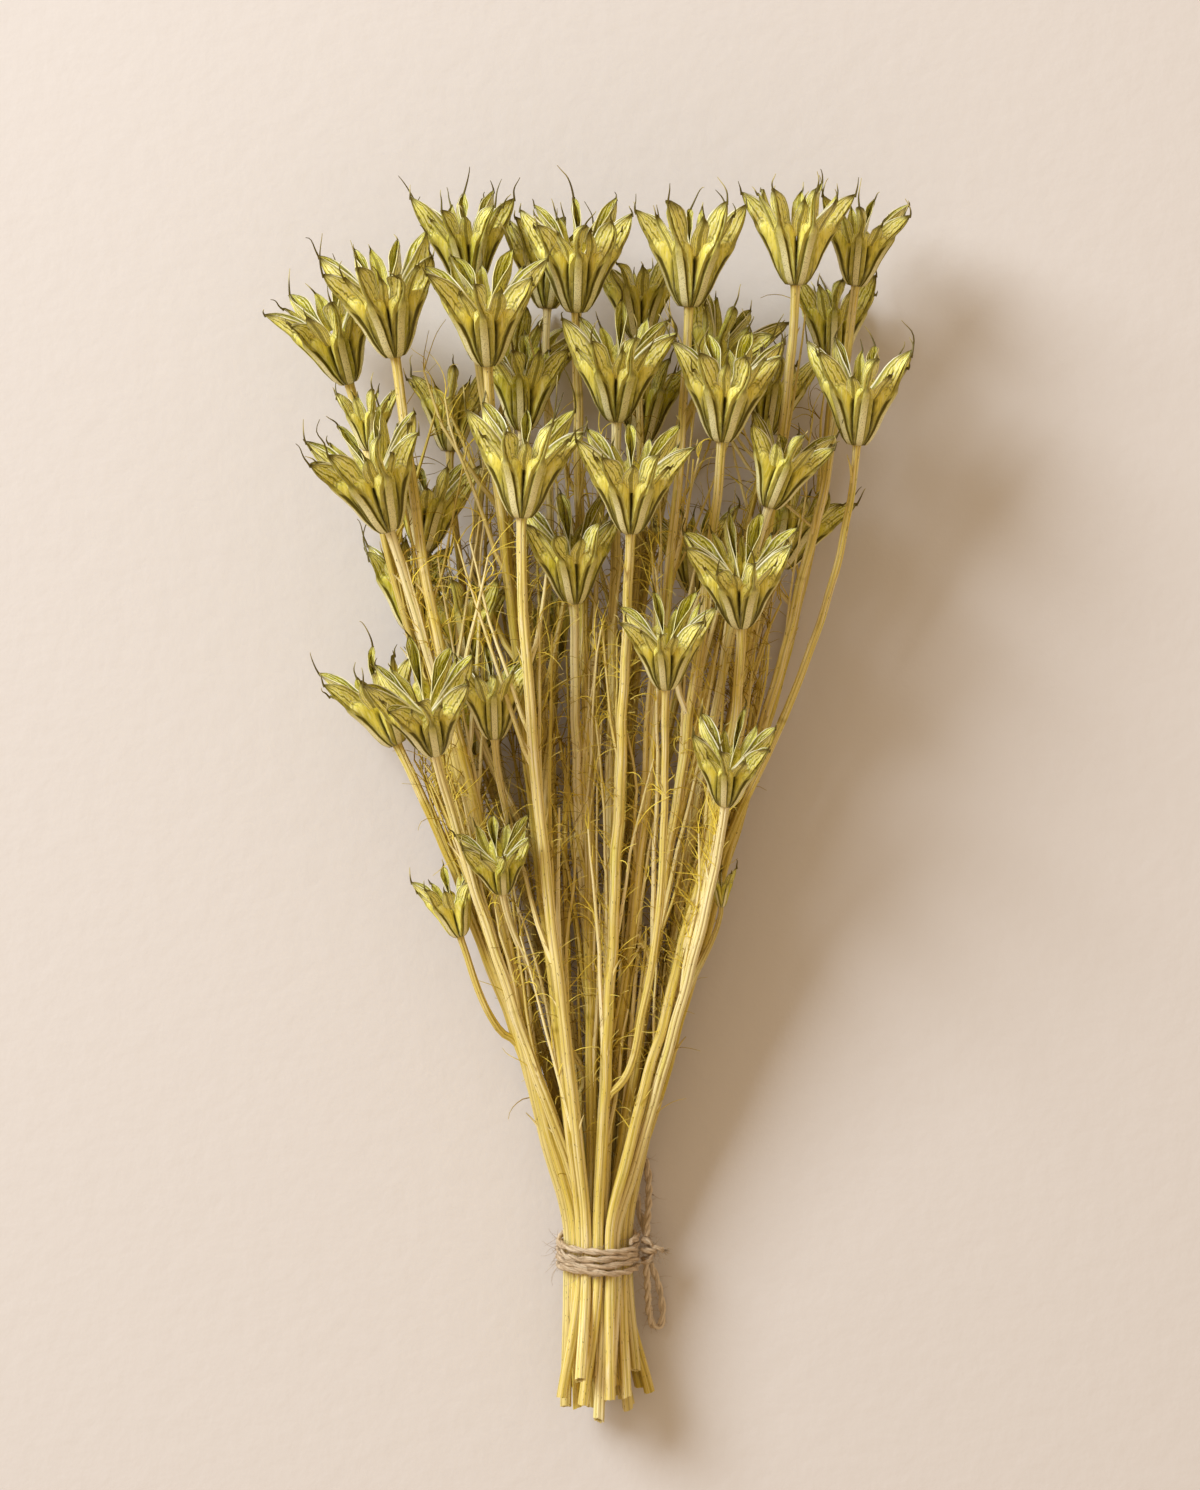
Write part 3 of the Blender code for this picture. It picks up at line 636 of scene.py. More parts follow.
def ribbon_grid(half, height, draw):
    """A narrow wavy ribbon that stands between two follicles: its places and marks."""
    t = np.linspace(0, 1, 8)[:, None]
    across = np.array([RIBBON_ACROSS])
    phase = draw.uniform(0, FULL_TURN, 3)
    bend = draw.normal(0, RIBBON_BEND, 2) * t**2
    wide = across * half * np.interp(t, *RIBBON_WIDE)
    outward = (np.interp(t, *RIBBON_OUT) + RIBBON_ARCH * (1 - abs(across))
               + RIBBON_WAVE * np.sin(7 * t + 3 * across + phase[1]) * t)
    sideways = wide + RIBBON_WAVE * np.sin(8 * t + phase[0]) * t + bend[:, :1]
    upward = RIBBON_FOOT + (height - RIBBON_FOOT) * t + bend[:, 1:] * 0.5 + 0 * across
    marks = spaced_marks(wide.shape, abs(across), 0.62 + 0.38 * t, 0, 1.0)
    return np.stack([sideways, outward, upward], axis=2), marks


def placer(sprig, angle, slim):
    """Takes a follicle's sideways, outward and upward places into the bunch."""
    out = math.cos(angle) * sprig.up + math.sin(angle) * sprig.side
    across = math.cos(angle) * sprig.side - math.sin(angle) * sprig.up

    def place(points):
        """The points' places in the bunch; none goes below the surface."""
        points = np.array(points)
        placed = sprig.base + (points[..., 2:] * sprig.axis + points[..., 1:2] * out * slim * POD_SLIM
                               + points[..., :1] * across) * sprig.size * POD_SHARE
        placed[..., 2] = np.maximum(placed[..., 2], LOWEST_POD)
        return placed
    return place


def add_valves(growth, place, grid, marks, draw, tone):
    """The folded wall of one follicle or ribbon, with a tone and a pattern of its own."""
    marks[..., 2] = np.clip(tone + draw.uniform(-TONE_SLACK, TONE_SLACK), 0, 1)
    corners, faces, slots, marks = walled(grid, marks)
    growth.add(place(corners), faces, slots, marks, corners + draw.uniform(0, 200, 3))


def add_pod(growth, sprig, draw, looks, tone):
    """All follicles of one pod, round its axis, and the ribbons that stand between them."""
    mouth, lost, slim = POD_HABITS.get(sprig.name, PLAIN_HABIT)
    angles = [follicle[0] + draw.uniform(-ANGLE_SLACK, ANGLE_SLACK) for follicle in sprig.follicles]
    following = angles[1:] + angles[:1]
    gaps = [min((after - angle) % FULL_TURN, WIDEST_GAP) for angle, after in zip(angles, following)]
    for number, (follicle, angle) in enumerate(zip(sprig.follicles, angles)):
        apart = gaps[number - 1], gaps[number]
        grid, marks = follicle_grid(follicle, apart, mouth * draw.uniform(*MOUTH_RANGE), draw)
        length = looks.beak_length / MM * draw.uniform(*BEAK_SHARES) * draw.choice(LONG_BEAKS)
        place = placer(sprig, angle, slim)
        half = np.clip(RIBBON_PLACE * math.sin(apart[1] / 2) - RIBBON_ROOM, *RIBBON_HALF)
        ribbon, ribbon_marks = ribbon_grid(half, draw.uniform(*RIBBON_TOPS), draw)
        between = placer(sprig, angle + apart[1] / 2 + draw.uniform(-0.1, 0.1), slim)
        if number in lost:
            continue
        add_valves(growth, place, grid, marks, draw, tone)
        add_beak(growth, place, grid, length, draw, tone)
        if mouth > RIBBON_MOUTH:
            add_valves(growth, between, ribbon, ribbon_marks, draw, tone)
            add_beak(growth, between, ribbon, length * RIBBON_BEAK, draw, tone)


# Stems

def wavy(line, draw):
    """A grown stem is never quite straight: small bends that fade at both ends."""
    along = lengths_along(line)
    fade = np.clip(np.minimum(along - STEM_STRAIGHT, along[-1] - along) / STEM_FADE, 0, 1)[:, None]
    bends = 0
    for wave in STEM_BENDS:
        way, phase = draw.normal(size=3), draw.uniform(0, FULL_TURN)
        bend = np.sin(FULL_TURN * along / wave + phase)[:, None] * wave / STEM_BENDS[0]
        bends = bends + unit(way) * bend
    return line + bends * fade * STEM_WAVER


def add_stem(growth, sprig, line, radii, draw, looks, tone, cut):
    """A fluted stem with nodes, a hollow cut end and a collar under the pod."""
    ribs = draw.integers(*FLUTES)
    sides, along = len(FLUTE) * ribs, lengths_along(line)
    angles = FULL_TURN * np.arange(sides) / sides + draw.uniform(-0.05, 0.05, sides)
    groove = np.tile(FLUTE, ribs)
    depth = looks.groove * draw.uniform(*FLUTE_DEPTHS, ribs).repeat(len(FLUTE))
    radii = radii * looks.fullness
    node = np.zeros(len(line))
    at = draw.uniform(*FIRST_JOINT)
    while at < along[-1] - JOINT_FREE:
        node += np.exp(-((along - at) / JOINT_LENGTH) ** 2) * draw.uniform(0.3, 1.0)
        at += draw.uniform(*JOINT_SPACING)
    collar = np.exp(-(along[-1] - along) / COLLAR_LENGTH) * (COLLAR_RADIUS * sprig.size - radii[-1])
    radii = radii * (1 + JOINT_BULGE * node) + np.maximum(collar, 0)
    shape = radii[:, None] * (1 - groove * depth * (1 - 0.6 * node[:, None]))
    shape *= 1 + draw.uniform(-STEM_ROUGHNESS, STEM_ROUGHNESS, shape.shape)
    turn = draw.uniform(-FLUTE_WIND, FLUTE_WIND) * along / along[-1]
    rings = rings_round(line, shape, angles + turn[:, None])
    marks = spaced_marks((len(line), sides), groove, node[:, None], tone, sprig.deep[:, None])
    grain = tube_grain(angles, along + GRAIN_SHIFT * tone, 2)
    if cut:
        rings, marks, grain = hollow_end(rings, marks, grain, draw)
    corners, faces = loft(rings)
    corners[:, 2] = np.maximum(corners[:, 2], LOWEST_TUBE)
    growth.add(corners, faces, STEM_SLOT, with_ends(marks), with_ends(grain))


def with_ends(values):
    """A ring-by-ring attribute as a list, with one value for each end's middle."""
    return np.vstack([values.reshape(-1, values.shape[2]), values[0, :1], values[-1, :1]])


def hollow_end(rings, marks, grain, draw):
    """Ends a stem in a slanted cut with a pithy hole."""
    centre, along = rings[0].mean(0), unit(rings[0].mean(0) - rings[1].mean(0))
    spokes = rings[0] - centre
    slant = unit(draw.normal(size=3))
    cut = rings[0] + along * (spokes @ slant)[:, None] * draw.uniform(*CUT_SLANT)
    cut += along * draw.uniform(-CUT_ROUGHNESS, CUT_ROUGHNESS, len(cut))[:, None]
    middle = cut.mean(0)
    hole = [middle + (cut - middle) * share - along * deep for share, deep, _ in HOLE]
    inner_marks, inner_grain = (np.repeat(values[:1], len(HOLE), axis=0) for values in (marks, grain))
    inner_marks[..., 0] = np.array(HOLE)[:, 2:]
    return (np.concatenate([hole + [cut], rings[1:]]), np.concatenate([inner_marks, marks]),
            np.concatenate([inner_grain, grain]))


def add_stubs(growth, line, draw, tone):
    """Short dry remains of leaf stalks along a stem."""
    along = lengths_along(line)
    at = draw.uniform(STUB_START, STUB_START + STUB_SPACING)
    while at < along[-1] - STUB_FREE:
        index = int(np.searchsorted(along, at))
        tangent = unit(line[index] - line[index - 1])
        out = unit(np.cross(tangent, draw.normal(size=3)))
        length = draw.uniform(*STUB_LENGTH)
        t = np.linspace(0, 1, STUB_POINTS)[:, None]
        points = line[index] + out * 0.8 + tangent * length * t + out * length * (0.2 * t + 0.25 * t**2)
        growth.tube(points, np.linspace(*STUB_RADII, STUB_POINTS), 5, STEM_SLOT, tone)
        at += STUB_SPACING * draw.uniform(0.5, 1.5)


# Leaves

def thread(start, way, length, bend, draw, count):
    """Points of one curling leaf thread."""
    way, turn = unit(way), unit(draw.normal(size=3))
    points = [np.array(start, float)]
    curl = bend * draw.uniform(*CURL_RANGE)
    for _ in range(count - 1):
        turn = unit(turn + CURL_TURN * draw.normal(size=3))
        way = unit(way + np.cross(turn, way) * curl + CURL_NOISE * draw.normal(size=3))
        points.append(points[-1] + way * length / (count - 1))
    return np.array(points)


def at_heights(line, heights):
    """Points of a stem at the given places along Y."""
    return np.stack([np.interp(heights, line[:, 1], line[:, axis]) for axis in range(3)], axis=1)


def depth_below(line, lines):
    """How far each point of a line lies below the topmost main stem near it, from 0 to 1."""
    heights, tops = line[:, 1], line[:, 2].copy()
    for other in lines:
        place = at_heights(other, heights)
        near = (np.abs(place[:, 0] - line[:, 0]) < NEIGHBOUR) & (heights < other[-1, 1])
        tops = np.where(near, np.maximum(tops, place[:, 2]), tops)
    return np.clip((tops - line[:, 2] - DEEP_FROM) / DEEP_OVER, 0, 1)


def leaf_stalk(line, lines, draw):
    """A leaf's stalk: it leaves one stem and runs on between it and a second one nearby."""
    tie, top = TIE[1], line[-1, 1] - POD_FREE
    low = tie + (top - tie) * draw.uniform(*STALK_STARTS)
    length = draw.uniform(*STALK_LENGTH)
    half = [low + 0.5 * length]
    middle = at_heights(line, half)[0]
    others = [other for other in lines if other is not line and other[-1, 1] > low + SECOND_RUN]
    others.sort(key=lambda other: np.linalg.norm(at_heights(other, half)[0] - middle))
    second = others[draw.integers(0, min(NEAREST, len(others)))]
    high = min(low + length, top, second[-1, 1] - SECOND_POD_FREE)
    if high < low + STALK_LEAST:
        return None
    heights = np.linspace(low, high, max(int((high - low) / STALK_STEP), 6))
    t = np.linspace(0, 1, len(heights))[:, None]
    share = draw.uniform(*STALK_SHARES) * t**0.7
    waves = np.sin(t * draw.uniform(3, 9) + draw.uniform(0, 6))
    sway = waves * unit(draw.normal(size=3)) * (STALK_SWAY * t)
    first = at_heights(line, heights)
    return first + (at_heights(second, heights) - first) * share + sway


class Outline:
    """How far the main stems reach to both sides and upwards at each height of the bunch."""

    def __init__(self, lines):
        self.heights = np.arange(TIE[1], max(line[-1, 1] for line in lines), OUTLINE_STEP)
        places = np.array([at_heights(line, self.heights) for line in lines])
        self.left, self.right = places[..., 0].min(axis=0), places[..., 0].max(axis=0)
        self.top = places[..., 2].max(axis=0)

    def holds(self, point):
        """Whether a point lies among the stems."""
        left, right, top = (np.interp(point[1], self.heights, edge)
                            for edge in (self.left, self.right, self.top))
        return left + 1 < point[0] < right - 1 and point[2] < top + 2


def add_tuft(growth, start, ahead, count, looks, draw, tone, outline, reach=1.0):
    """Curling threads that leave one place, mostly along the stem; few stand off the outline."""
    thick = looks.thickness / MM
    centre = np.array([TIE[0] - start[0], 0.0, MIDDLE_HEIGHT - start[2]]) / MIDDLE_PULL
    for _ in range(count):
        out = unit(np.cross(ahead, draw.normal(size=3))) * 0.8 + centre
        points = thread(start, ahead * draw.uniform(1.0, 6.0) + out,
                        draw.uniform(*THREAD_LENGTH) * reach, THREAD_CURL, draw, THREAD_POINTS)
        if not outline.holds(points[-1]) and draw.uniform() > STRAYS:
            continue
        radii = np.linspace(thick * draw.uniform(0.8, 1.5), 0.5 * thick, THREAD_POINTS)
        growth.tube(points, radii, 3, THREAD_SLOT, tone + draw.uniform(-0.2, 0.2))


def add_leaf(growth, stalk, looks, draw, tone, outline):
    """A finely divided dry leaf: threads that fork from a stalk."""
    thick = looks.thickness / MM
    radii = np.linspace(draw.uniform(*STALK_RADII), STALK_END, len(stalk)) * thick
    growth.tube(stalk, radii, 5, STALK_SLOT, tone)
    # A deep stalk's tone also gives it the stems' painted shade
    growth.marks[-1][:, 1], growth.marks[-1][:, 3] = 0.0, 1.4 * tone
    for index in range(2, len(stalk)):
        ahead = unit(stalk[index] - stalk[index - 1])
        add_tuft(growth, stalk[index], ahead, draw.integers(*STALK_TUFT), looks, draw, tone, outline)


def tuft_starts(line, lines, draw, spacing):
    """Places along a stem where threads stand close to it, above the tie; few on the outline."""
    along = lengths_along(line)
    at = draw.uniform(*TUFT_START)
    while at < along[-1] * TUFT_END:
        index = int(np.searchsorted(along, at))
        across = [at_heights(other, line[index:index + 1, 1])[0, 0] for other in lines]
        inside = min(across) + OUTLINE_EDGE < line[index, 0] < max(across) - OUTLINE_EDGE
        if inside or draw.uniform() < OUTLINE_TUFTS:
            yield index
        at += spacing * draw.uniform(*TUFT_SPREAD)


# Twine

def rope_parts(growth, route, draw, tone, step=0.7, pitch=KNOT_TWIST, scale=1.0):
    """Twisted plies of jute along a route, each with its strands."""
    line = smooth_line(route, step)
    along = lengths_along(line)
    first, second = frames_along(line, (0.2, 0.3, 0.93))
    radius, away = TWINE * PLY_SIZE * scale, TWINE * PLY_AWAY * scale
    sides = len(STRANDS)
    angles = FULL_TURN * np.arange(sides) / sides
    drift = PLY_DRIFT * np.sin(along / 11.0 + draw.uniform(0, 6))
    for ply in range(PLIES):
        turn = FULL_TURN * (along / pitch + ply / PLIES) + drift
        core = line + away * (np.cos(turn)[:, None] * first + np.sin(turn)[:, None] * second)
        rough = 1 + draw.normal(0, STRAND_ROUGHNESS, (len(core), sides))
        rings = rings_round(core, radius * np.array(STRANDS) * rough, angles)
        marks = spaced_marks(rough.shape, STRANDS, (along / along[-1])[:, None], tone)
        grain = tube_grain(angles, along)
        grain[..., 0] += 4 * ply
        corners, faces = loft(rings)
        corners[:, 2] = np.maximum(corners[:, 2], LOWEST_TUBE)
        growth.add(corners, faces, JUTE_SLOT, with_ends(marks), with_ends(grain))
    return line


def add_fuzz(growth, line, count, draw, longest, tone):
    """Loose fibres that stand off the twine."""
    for _ in range(count):
        index = draw.integers(1, len(line) - 1)
        tangent = unit(line[index] - line[index - 1])
        out = unit(np.cross(tangent, draw.normal(size=3)))
        length = longest * draw.uniform(0.25, 1.0) ** 2
        points = thread(line[index] + out * TWINE * 0.4, out + tangent * draw.uniform(-1.5, 1.5),
                        length + 0.8, 0.3, draw, FIBRE_POINTS)
        growth.tube(points, np.linspace(*FIBRE_RADII, FIBRE_POINTS), 3, JUTE_SLOT, tone)


def wrap_route():
    """The turns round the stems, tilted and a little uneven."""
    steps = int(WRAP_TURNS * WRAP_POINTS)
    turns = np.arange(steps + 1) / WRAP_POINTS
    rise = WRAP_RADIUS * np.sin(FULL_TURN * turns)
    slack = WRAP_SLACK[0] * np.sin(7.3 * turns) + WRAP_SLACK[1] * np.sin(17.1 * turns + 2)
    across = WRAP_RADIUS * np.cos(FULL_TURN * turns)
    ahead = WRAP_PITCH * (turns - WRAP_TURNS / 2) - WRAP_TILT * rise + slack
    return TIE + np.stack([across, ahead, rise], axis=1)


def bow_line(route):
    """The bow loop's centre line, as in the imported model."""
    count = len(route)
    rows = np.column_stack([np.arange(count), route])
    fine = table_at(rows, np.linspace(0, count - 1, LOOP_FINE * (count - 1) + 1))
    return TIE_FLOOR + evenly(fine, LOOP_POINTS)


# Materials

class Term:
    """A shader socket that takes part in sums, so that 1 - mask adds a Math node."""

    def __init__(self, finish, socket):
        self.finish, self.socket = finish, socket

    def math(self, operation, *values):
        """Adds a Math node on the values."""
        return self.finish.node("Math", {"operation": operation}, dict(enumerate(values)))

    def __add__(self, other):
        return self.math("ADD", self, other)

    def __sub__(self, other):
        return self.math("SUBTRACT", self, other)

    def __rsub__(self, other):
        return self.math("SUBTRACT", other, self)

    def __mul__(self, other):
        return self.math("MULTIPLY", self, other)

    def __abs__(self):
        return self.math("ABSOLUTE", self)

    __radd__ = __add__
    __rmul__ = __mul__


class Finish:
    """A material: its nodes, and the Principled shader that they feed."""

    def __init__(self, name, gloss=0.4, sheen=(1.0, 1.0, 1.0, 1.0)):
        self.material = bpy.data.materials.new(name)
        self.material.use_nodes = True
        self.tree = self.material.node_tree
        self.shader = self.tree.nodes["Principled BSDF"]
        self.shader.inputs["Specular IOR Level"].default_value = gloss
        self.shader.inputs["Specular Tint"].default_value = sheen

    def node(self, kind, settings, values, output=0):
        """Adds a node of a type, with its settings, then its sockets' values or links."""
        node = self.tree.nodes.new("ShaderNode" + kind)
        for setting, value in settings.items():
            setattr(node, setting, value)
        for socket, value in values.items():
            if isinstance(value, Term):
                self.tree.links.new(value.socket, node.inputs[socket])
            else:
                node.inputs[socket].default_value = value
        return Term(self, node.outputs[output])

    def attribute(self, name, output="Color"):
        """One of the piece's own attributes."""
        return self.node("Attribute", {"attribute_name": name}, {}, output)

    def channels(self):
        """Across, along and tone, as the pieces' marks hold them."""
        split = self.node("SeparateColor", {}, {0: self.attribute("growth")})
        outputs = split.socket.node.outputs
        return [Term(self, outputs[index]) for index in range(3)]

    def veins(self, noise, width):
        """Thin lines along a noise's middle value."""
        return 1 - self.step(abs(noise - 0.5), 0.0, width)

    def stretched(self, scale):
        """The grain's coordinates, stretched along the piece."""
        grain = self.attribute("grain", "Vector")
        return self.node("VectorMath", {"operation": "MULTIPLY"}, {0: grain, 1: scale})

    def noise(self, vector, scale, detail=3.0, rough=0.55):
        """Cloudy values round 0.5."""
        return self.node("TexNoise", {}, {"Vector": vector, "Scale": scale, "Detail": detail,
                                          "Roughness": rough})

    def step(self, value, low, high):
        """0 below low and 1 above high, smooth between them."""
        return self.node("MapRange", {"interpolation_type": "SMOOTHSTEP"},
                         {0: value, 1: low, 2: high, 3: 0.0, 4: 1.0})

    def mix(self, factor, one, two):
        """Goes from one colour to the other as the factor grows."""
        one, two = (value if isinstance(value, Term) else (*value, 1.0) for value in (one, two))
        return self.node("Mix", {"data_type": "RGBA", "clamp_factor": True},
                         {0: factor, MIX_ONE: one, MIX_TWO: two}, MIX_RESULT)

    def feed(self, **links):
        """Links terms to the shader's sockets of the same names."""
        for socket, term in links.items():
            self.tree.links.new(term.socket, self.shader.inputs[socket.replace("_", " ").title()])

    def bump(self, height, strength, distance):
        """Raises the surface a little by a height, and hands over the material."""
        self.feed(normal=self.node("Bump", {}, {"Strength": strength, "Distance": distance,
                                                "Height": height}))
        return self.material


def stem_finish(looks):
    """Straw: long fibres, dark joints, small specks; painted shade in grooves, end holes and deep stems.
    """
    finish = Finish("dry_straw", sheen=WARM_SHEEN)
    groove, node, tone = finish.channels()
    deep = finish.attribute("growth", "Alpha")
    fibre = finish.noise(finish.stretched((1.8, 1.8, 0.035)), 2.2, 4.0)
    blotch = finish.noise(finish.stretched((0.5, 0.5, 0.035)), 1.0, 2.0)
    speck = finish.noise(finish.stretched((1.2, 1.2, 0.3)), 1.9, 2.0)
    straw = finish.mix(finish.step(tone + blotch * 0.6, 0.55, 1.0), looks.straw, looks.tan)
    straw = finish.mix(finish.step(blotch, 0.52, 0.7) * 0.5, straw, looks.green)
    straw = finish.mix(finish.step(fibre, 0.45, 0.66) * 0.6, straw, looks.pale)
    # Painted shade in the flutes and in the cut end's hole; the joints' dark rings are their own
    dark = finish.step(groove, 0.4, 1.1) * 0.52 + finish.step(node, 0.5, 1.0) * 0.45
    # Painted shade: stretches deep in the bunch, above the tie or under higher stems, turn browner
    straw = finish.mix(finish.step(deep + blotch * 0.3, 0.15, 1.1) * 0.55, straw, looks.shaded_brown)
    straw = finish.mix(dark, straw, looks.dark)
    straw = finish.mix(finish.step(0.5 - fibre, 0.07, 0.16) * 0.35, straw, looks.dark)
    straw = finish.mix(finish.step(speck, 0.675, 0.7), straw, SPECK)
    finish.feed(base_color=straw, roughness=fibre * 0.3 + 0.34)
    return finish.bump(fibre, 0.6, 0.0004)


def wall_paint(finish, looks, ground, across, along, fold_and_shade, striped):
    """What both faces of a follicle share: clouds, veins, pale margin, dark crease and tip."""
    vein = finish.noise(finish.stretched((0.55, 0.4, 0.16)), 1.2, 2.0)
    fine = finish.noise(finish.stretched((1.1, 0.8, 0.2)), 1.6, 2.0)
    upper = finish.step(along, 0.56, 0.7)
    ground = finish.mix(finish.veins(fine, 0.05) * (upper * 0.2 + 0.1), ground, looks.pale)
    ground = finish.mix(finish.veins(vein, 0.03) * upper * 0.12, ground, looks.vein)
    bands = across * 24.0 + vein * 5.0
    wave = bands.math("SINE", bands)
    lines = (1 - finish.step(abs(wave), 0.1, 0.4)) * upper * finish.step(across, 0.25, 0.35)
    ground = finish.mix(finish.step(wave, 0.75, 0.97) * upper * (striped * 1.2), ground, looks.shade)
    ground = finish.mix(lines * striped, ground, looks.cream)
    edge = finish.step(along, 0.5, 0.6)
    ground = finish.mix(finish.step(across, 0.8, 0.92) * edge * 0.6, ground, looks.vein)
    ground = finish.mix(finish.step(across, 0.94, 0.97) * edge, ground, looks.cream)
    folds = 2 - finish.step(abs(fold_and_shade - 0.5), 0.01, 0.05) - finish.step(abs(fold_and_shade - 0.64), 0.01, 0.05)
    folds = folds * finish.step(vein, 0.35, 0.55) * finish.step(across, 0.24, 0.3)
    ground = finish.mix(folds * 0.42, ground, looks.vein)
    ridge = finish.step(along, 0.57, 0.63) * (1 - finish.step(across, 0.12, 0.3))
    ground = finish.mix(ridge * 0.65, ground, looks.tip)
    return ground, vein


def back_finish(looks):
    """The follicle's outside: satin olive and gold, speckled rib, folds, pale margin, painted shade and
    highlight.
    """
    finish = Finish("pod_wall", 0.4, WARM_SHEEN)
    across, along, tone = finish.channels()
    fold_and_shade = finish.attribute("growth", "Alpha")
    cloud = finish.noise(finish.stretched((0.2, 0.2, 0.08)), 1.0, 3.0)
    streak = finish.noise(finish.stretched((1.4, 0.8, 0.12)), 1.3, 3.0)
    dots = finish.noise(finish.stretched((1.0, 1.0, 0.7)), 2.4, 1.5)
    wall = finish.mix(finish.step(cloud + tone * 0.5, 0.45, 0.95), looks.olive, looks.gold)
    wall = finish.mix(finish.step(along, 0.55, 0.9) * 0.3, wall, looks.green)
    wall = finish.mix(finish.step(streak, 0.5, 0.75) * 0.5, wall, looks.pale)
    wall = finish.mix(finish.step(0.5 - streak, 0.02, 0.17) * 0.35, wall, looks.shade)
    # Painted shade where neighbouring follicles' walls touch
    wall = finish.mix(finish.step(0 - fold_and_shade, 0.05, 0.8) * 0.88, wall, looks.shade)
    # Painted shade low on the wall, near the rib
    flank_shade = (1 - finish.step(across, 0.24, 0.46)) * (1 - finish.step(along, 0.6, 0.68))
    wall = finish.mix(flank_shade * 0.4, wall, looks.shade)
    wall, vein = wall_paint(finish, looks, wall, across, along, fold_and_shade, 0.6)
    low = 1 - finish.step(along + across * across * 2, 0.585, 0.62)
    rib = (1 - finish.step(across, 0.13, 0.17)) * (1 - finish.step(along, 0.3, 0.66))
    # Painted shade in the groove beside the rib
    seam_shade = (finish.step(across, 0.155, 0.185) - finish.step(across, 0.21, 0.26)) * low
    # Painted highlight along the bulge of each wall
    crest_highlight = finish.step(across, 0.34, 0.5) * (1 - finish.step(across, 0.56, 0.76)) * low
    wall = finish.mix(crest_highlight * finish.step(cloud, 0.35, 0.6) * 0.45, wall, looks.pale)
    wall = finish.mix(rib * 0.75, wall, looks.rib)
    wall = finish.mix(seam_shade * 0.9, wall, looks.vein)
    spotted = finish.step(dots, 0.55, 0.62) * (rib * 0.25 + 0.12) * low
    wall = finish.mix(spotted, wall, POD_SPOT)
    wall = finish.mix(finish.step(along + cloud * 0.14, 0.94, 1.07), wall, looks.tip)
    wall = finish.mix((1 - finish.step(along, 0.02, 0.09)) * 0.75, wall, POD_FOOT)
    finish.feed(base_color=wall, roughness=cloud * 0.25 + 0.21 + rib * 0.2)
    return finish.bump(streak + vein + dots * rib, 0.5, 0.0003)


def inside_finish(looks):
    """The follicle's inside: green, darkened partly as painted shade, finely veined, pale at the
    margins.
    """
    finish = Finish("pod_lining", sheen=WARM_SHEEN)
    across, along, tone = finish.channels()
    fold_and_shade = finish.attribute("growth", "Alpha")
    cloud = finish.noise(finish.stretched((0.3, 0.3, 0.3)), 1.2, 3.0)
    lining = finish.mix(finish.step(cloud + tone * 0.2, 0.4, 0.8), looks.lining, looks.olive)
    lining, vein = wall_paint(finish, looks, lining, across, along, fold_and_shade, 0.65)
    lining = finish.mix(finish.step(along, 0.95, 1.02), lining, looks.tip)
    finish.feed(base_color=lining, roughness=vein * 0.25 + 0.38)
    return finish.bump(vein, 0.5, 0.0003)


def rim_finish(looks):
    """Margins in cream, and beaks that darken and then pale towards their ends."""
    finish = Finish("pod_margin", sheen=WARM_SHEEN)
    _, along, _ = finish.channels()
    cloud = finish.noise(finish.stretched((0.4, 0.4, 0.4)), 1.0, 2.0)
    rim = finish.mix(cloud, looks.cream, looks.gold)
    rim = finish.mix(finish.step(along + cloud * 0.1, 0.9, 1.02), rim, looks.tip)
    rim = finish.mix(finish.step(along, 1.35, 1.8), rim, BEAK_END)
    finish.feed(base_color=rim, roughness=cloud * 0.2 + 0.35)
    return finish.bump(cloud, 0.2, 0.0002)


def leaf_finish(looks):
    """Dry leaf threads, golden yellow to browner, the browner partly painted shade deep in the bunch."""
    finish = Finish("dry_leaf", 0.3, WARM_SHEEN)
    _, along, tone = finish.channels()
    cloud = finish.noise(finish.stretched((0.5, 0.5, 0.5)), 0.6, 2.0)
    leaf = finish.mix(finish.step(tone * 0.6 + cloud * 0.7, 0.35, 0.9), looks.colour, looks.old_and_shaded)
    leaf = finish.mix(finish.step(along, 0.6, 1.0) * 0.4, leaf, THREAD_END)
    finish.feed(base_color=leaf, roughness=cloud * 0.3 + 0.45)
    return finish.bump(cloud, 0.2, 0.0002)


def jute_finish(looks):
    """Jute: fine pale and browner fibres that run with the twist, partly painted light and shade."""
    finish = Finish("jute", 0.3)
    strand, _, tone = finish.channels()
    fibre = finish.noise(finish.stretched((3.0, 3.0, 0.35)), 2.0, 4.0, 0.65)
    cloud = finish.noise(finish.stretched((0.4, 0.4, 0.25)), 1.0, 2.0)
    # The fibre pattern mixes tan fibres with fibres in painted shade, partly the jute's own darker
    # fibres
    jute = finish.mix(finish.step(fibre, 0.3, 0.68), looks.shaded_brown, looks.tan)
    jute = finish.mix(finish.step(cloud + tone * 0.2, 0.5, 0.75) * 0.6, jute, JUTE_PATCH)
    # Painted shade in the grooves between strands
    jute = finish.mix((1 - finish.step(strand, 0.83, 0.95)) * 0.35, jute, JUTE_GROOVE_SHADE)
    finish.feed(base_color=jute, roughness=fibre * 0.2 + 0.75)
    return finish.bump(fibre, 0.9, 0.0005)


def paper_finish(looks):
    """The pale surface below: a matt board with a faint tooth."""
    finish = Finish("pale_board", 0.5)
    place = finish.node("TexCoord", {}, {}, "Object")
    tooth = finish.noise(place, 110.0, 5.0)
    cloud = finish.noise(place, 3.0, 2.0)
    board = finish.mix(cloud * 0.5, looks.floor, tuple(0.94 * part for part in looks.floor))
    finish.feed(base_color=board, roughness=tooth * 0.1 + 0.8)
    return finish.bump(tooth, 0.3, 0.001)


# What a user may change

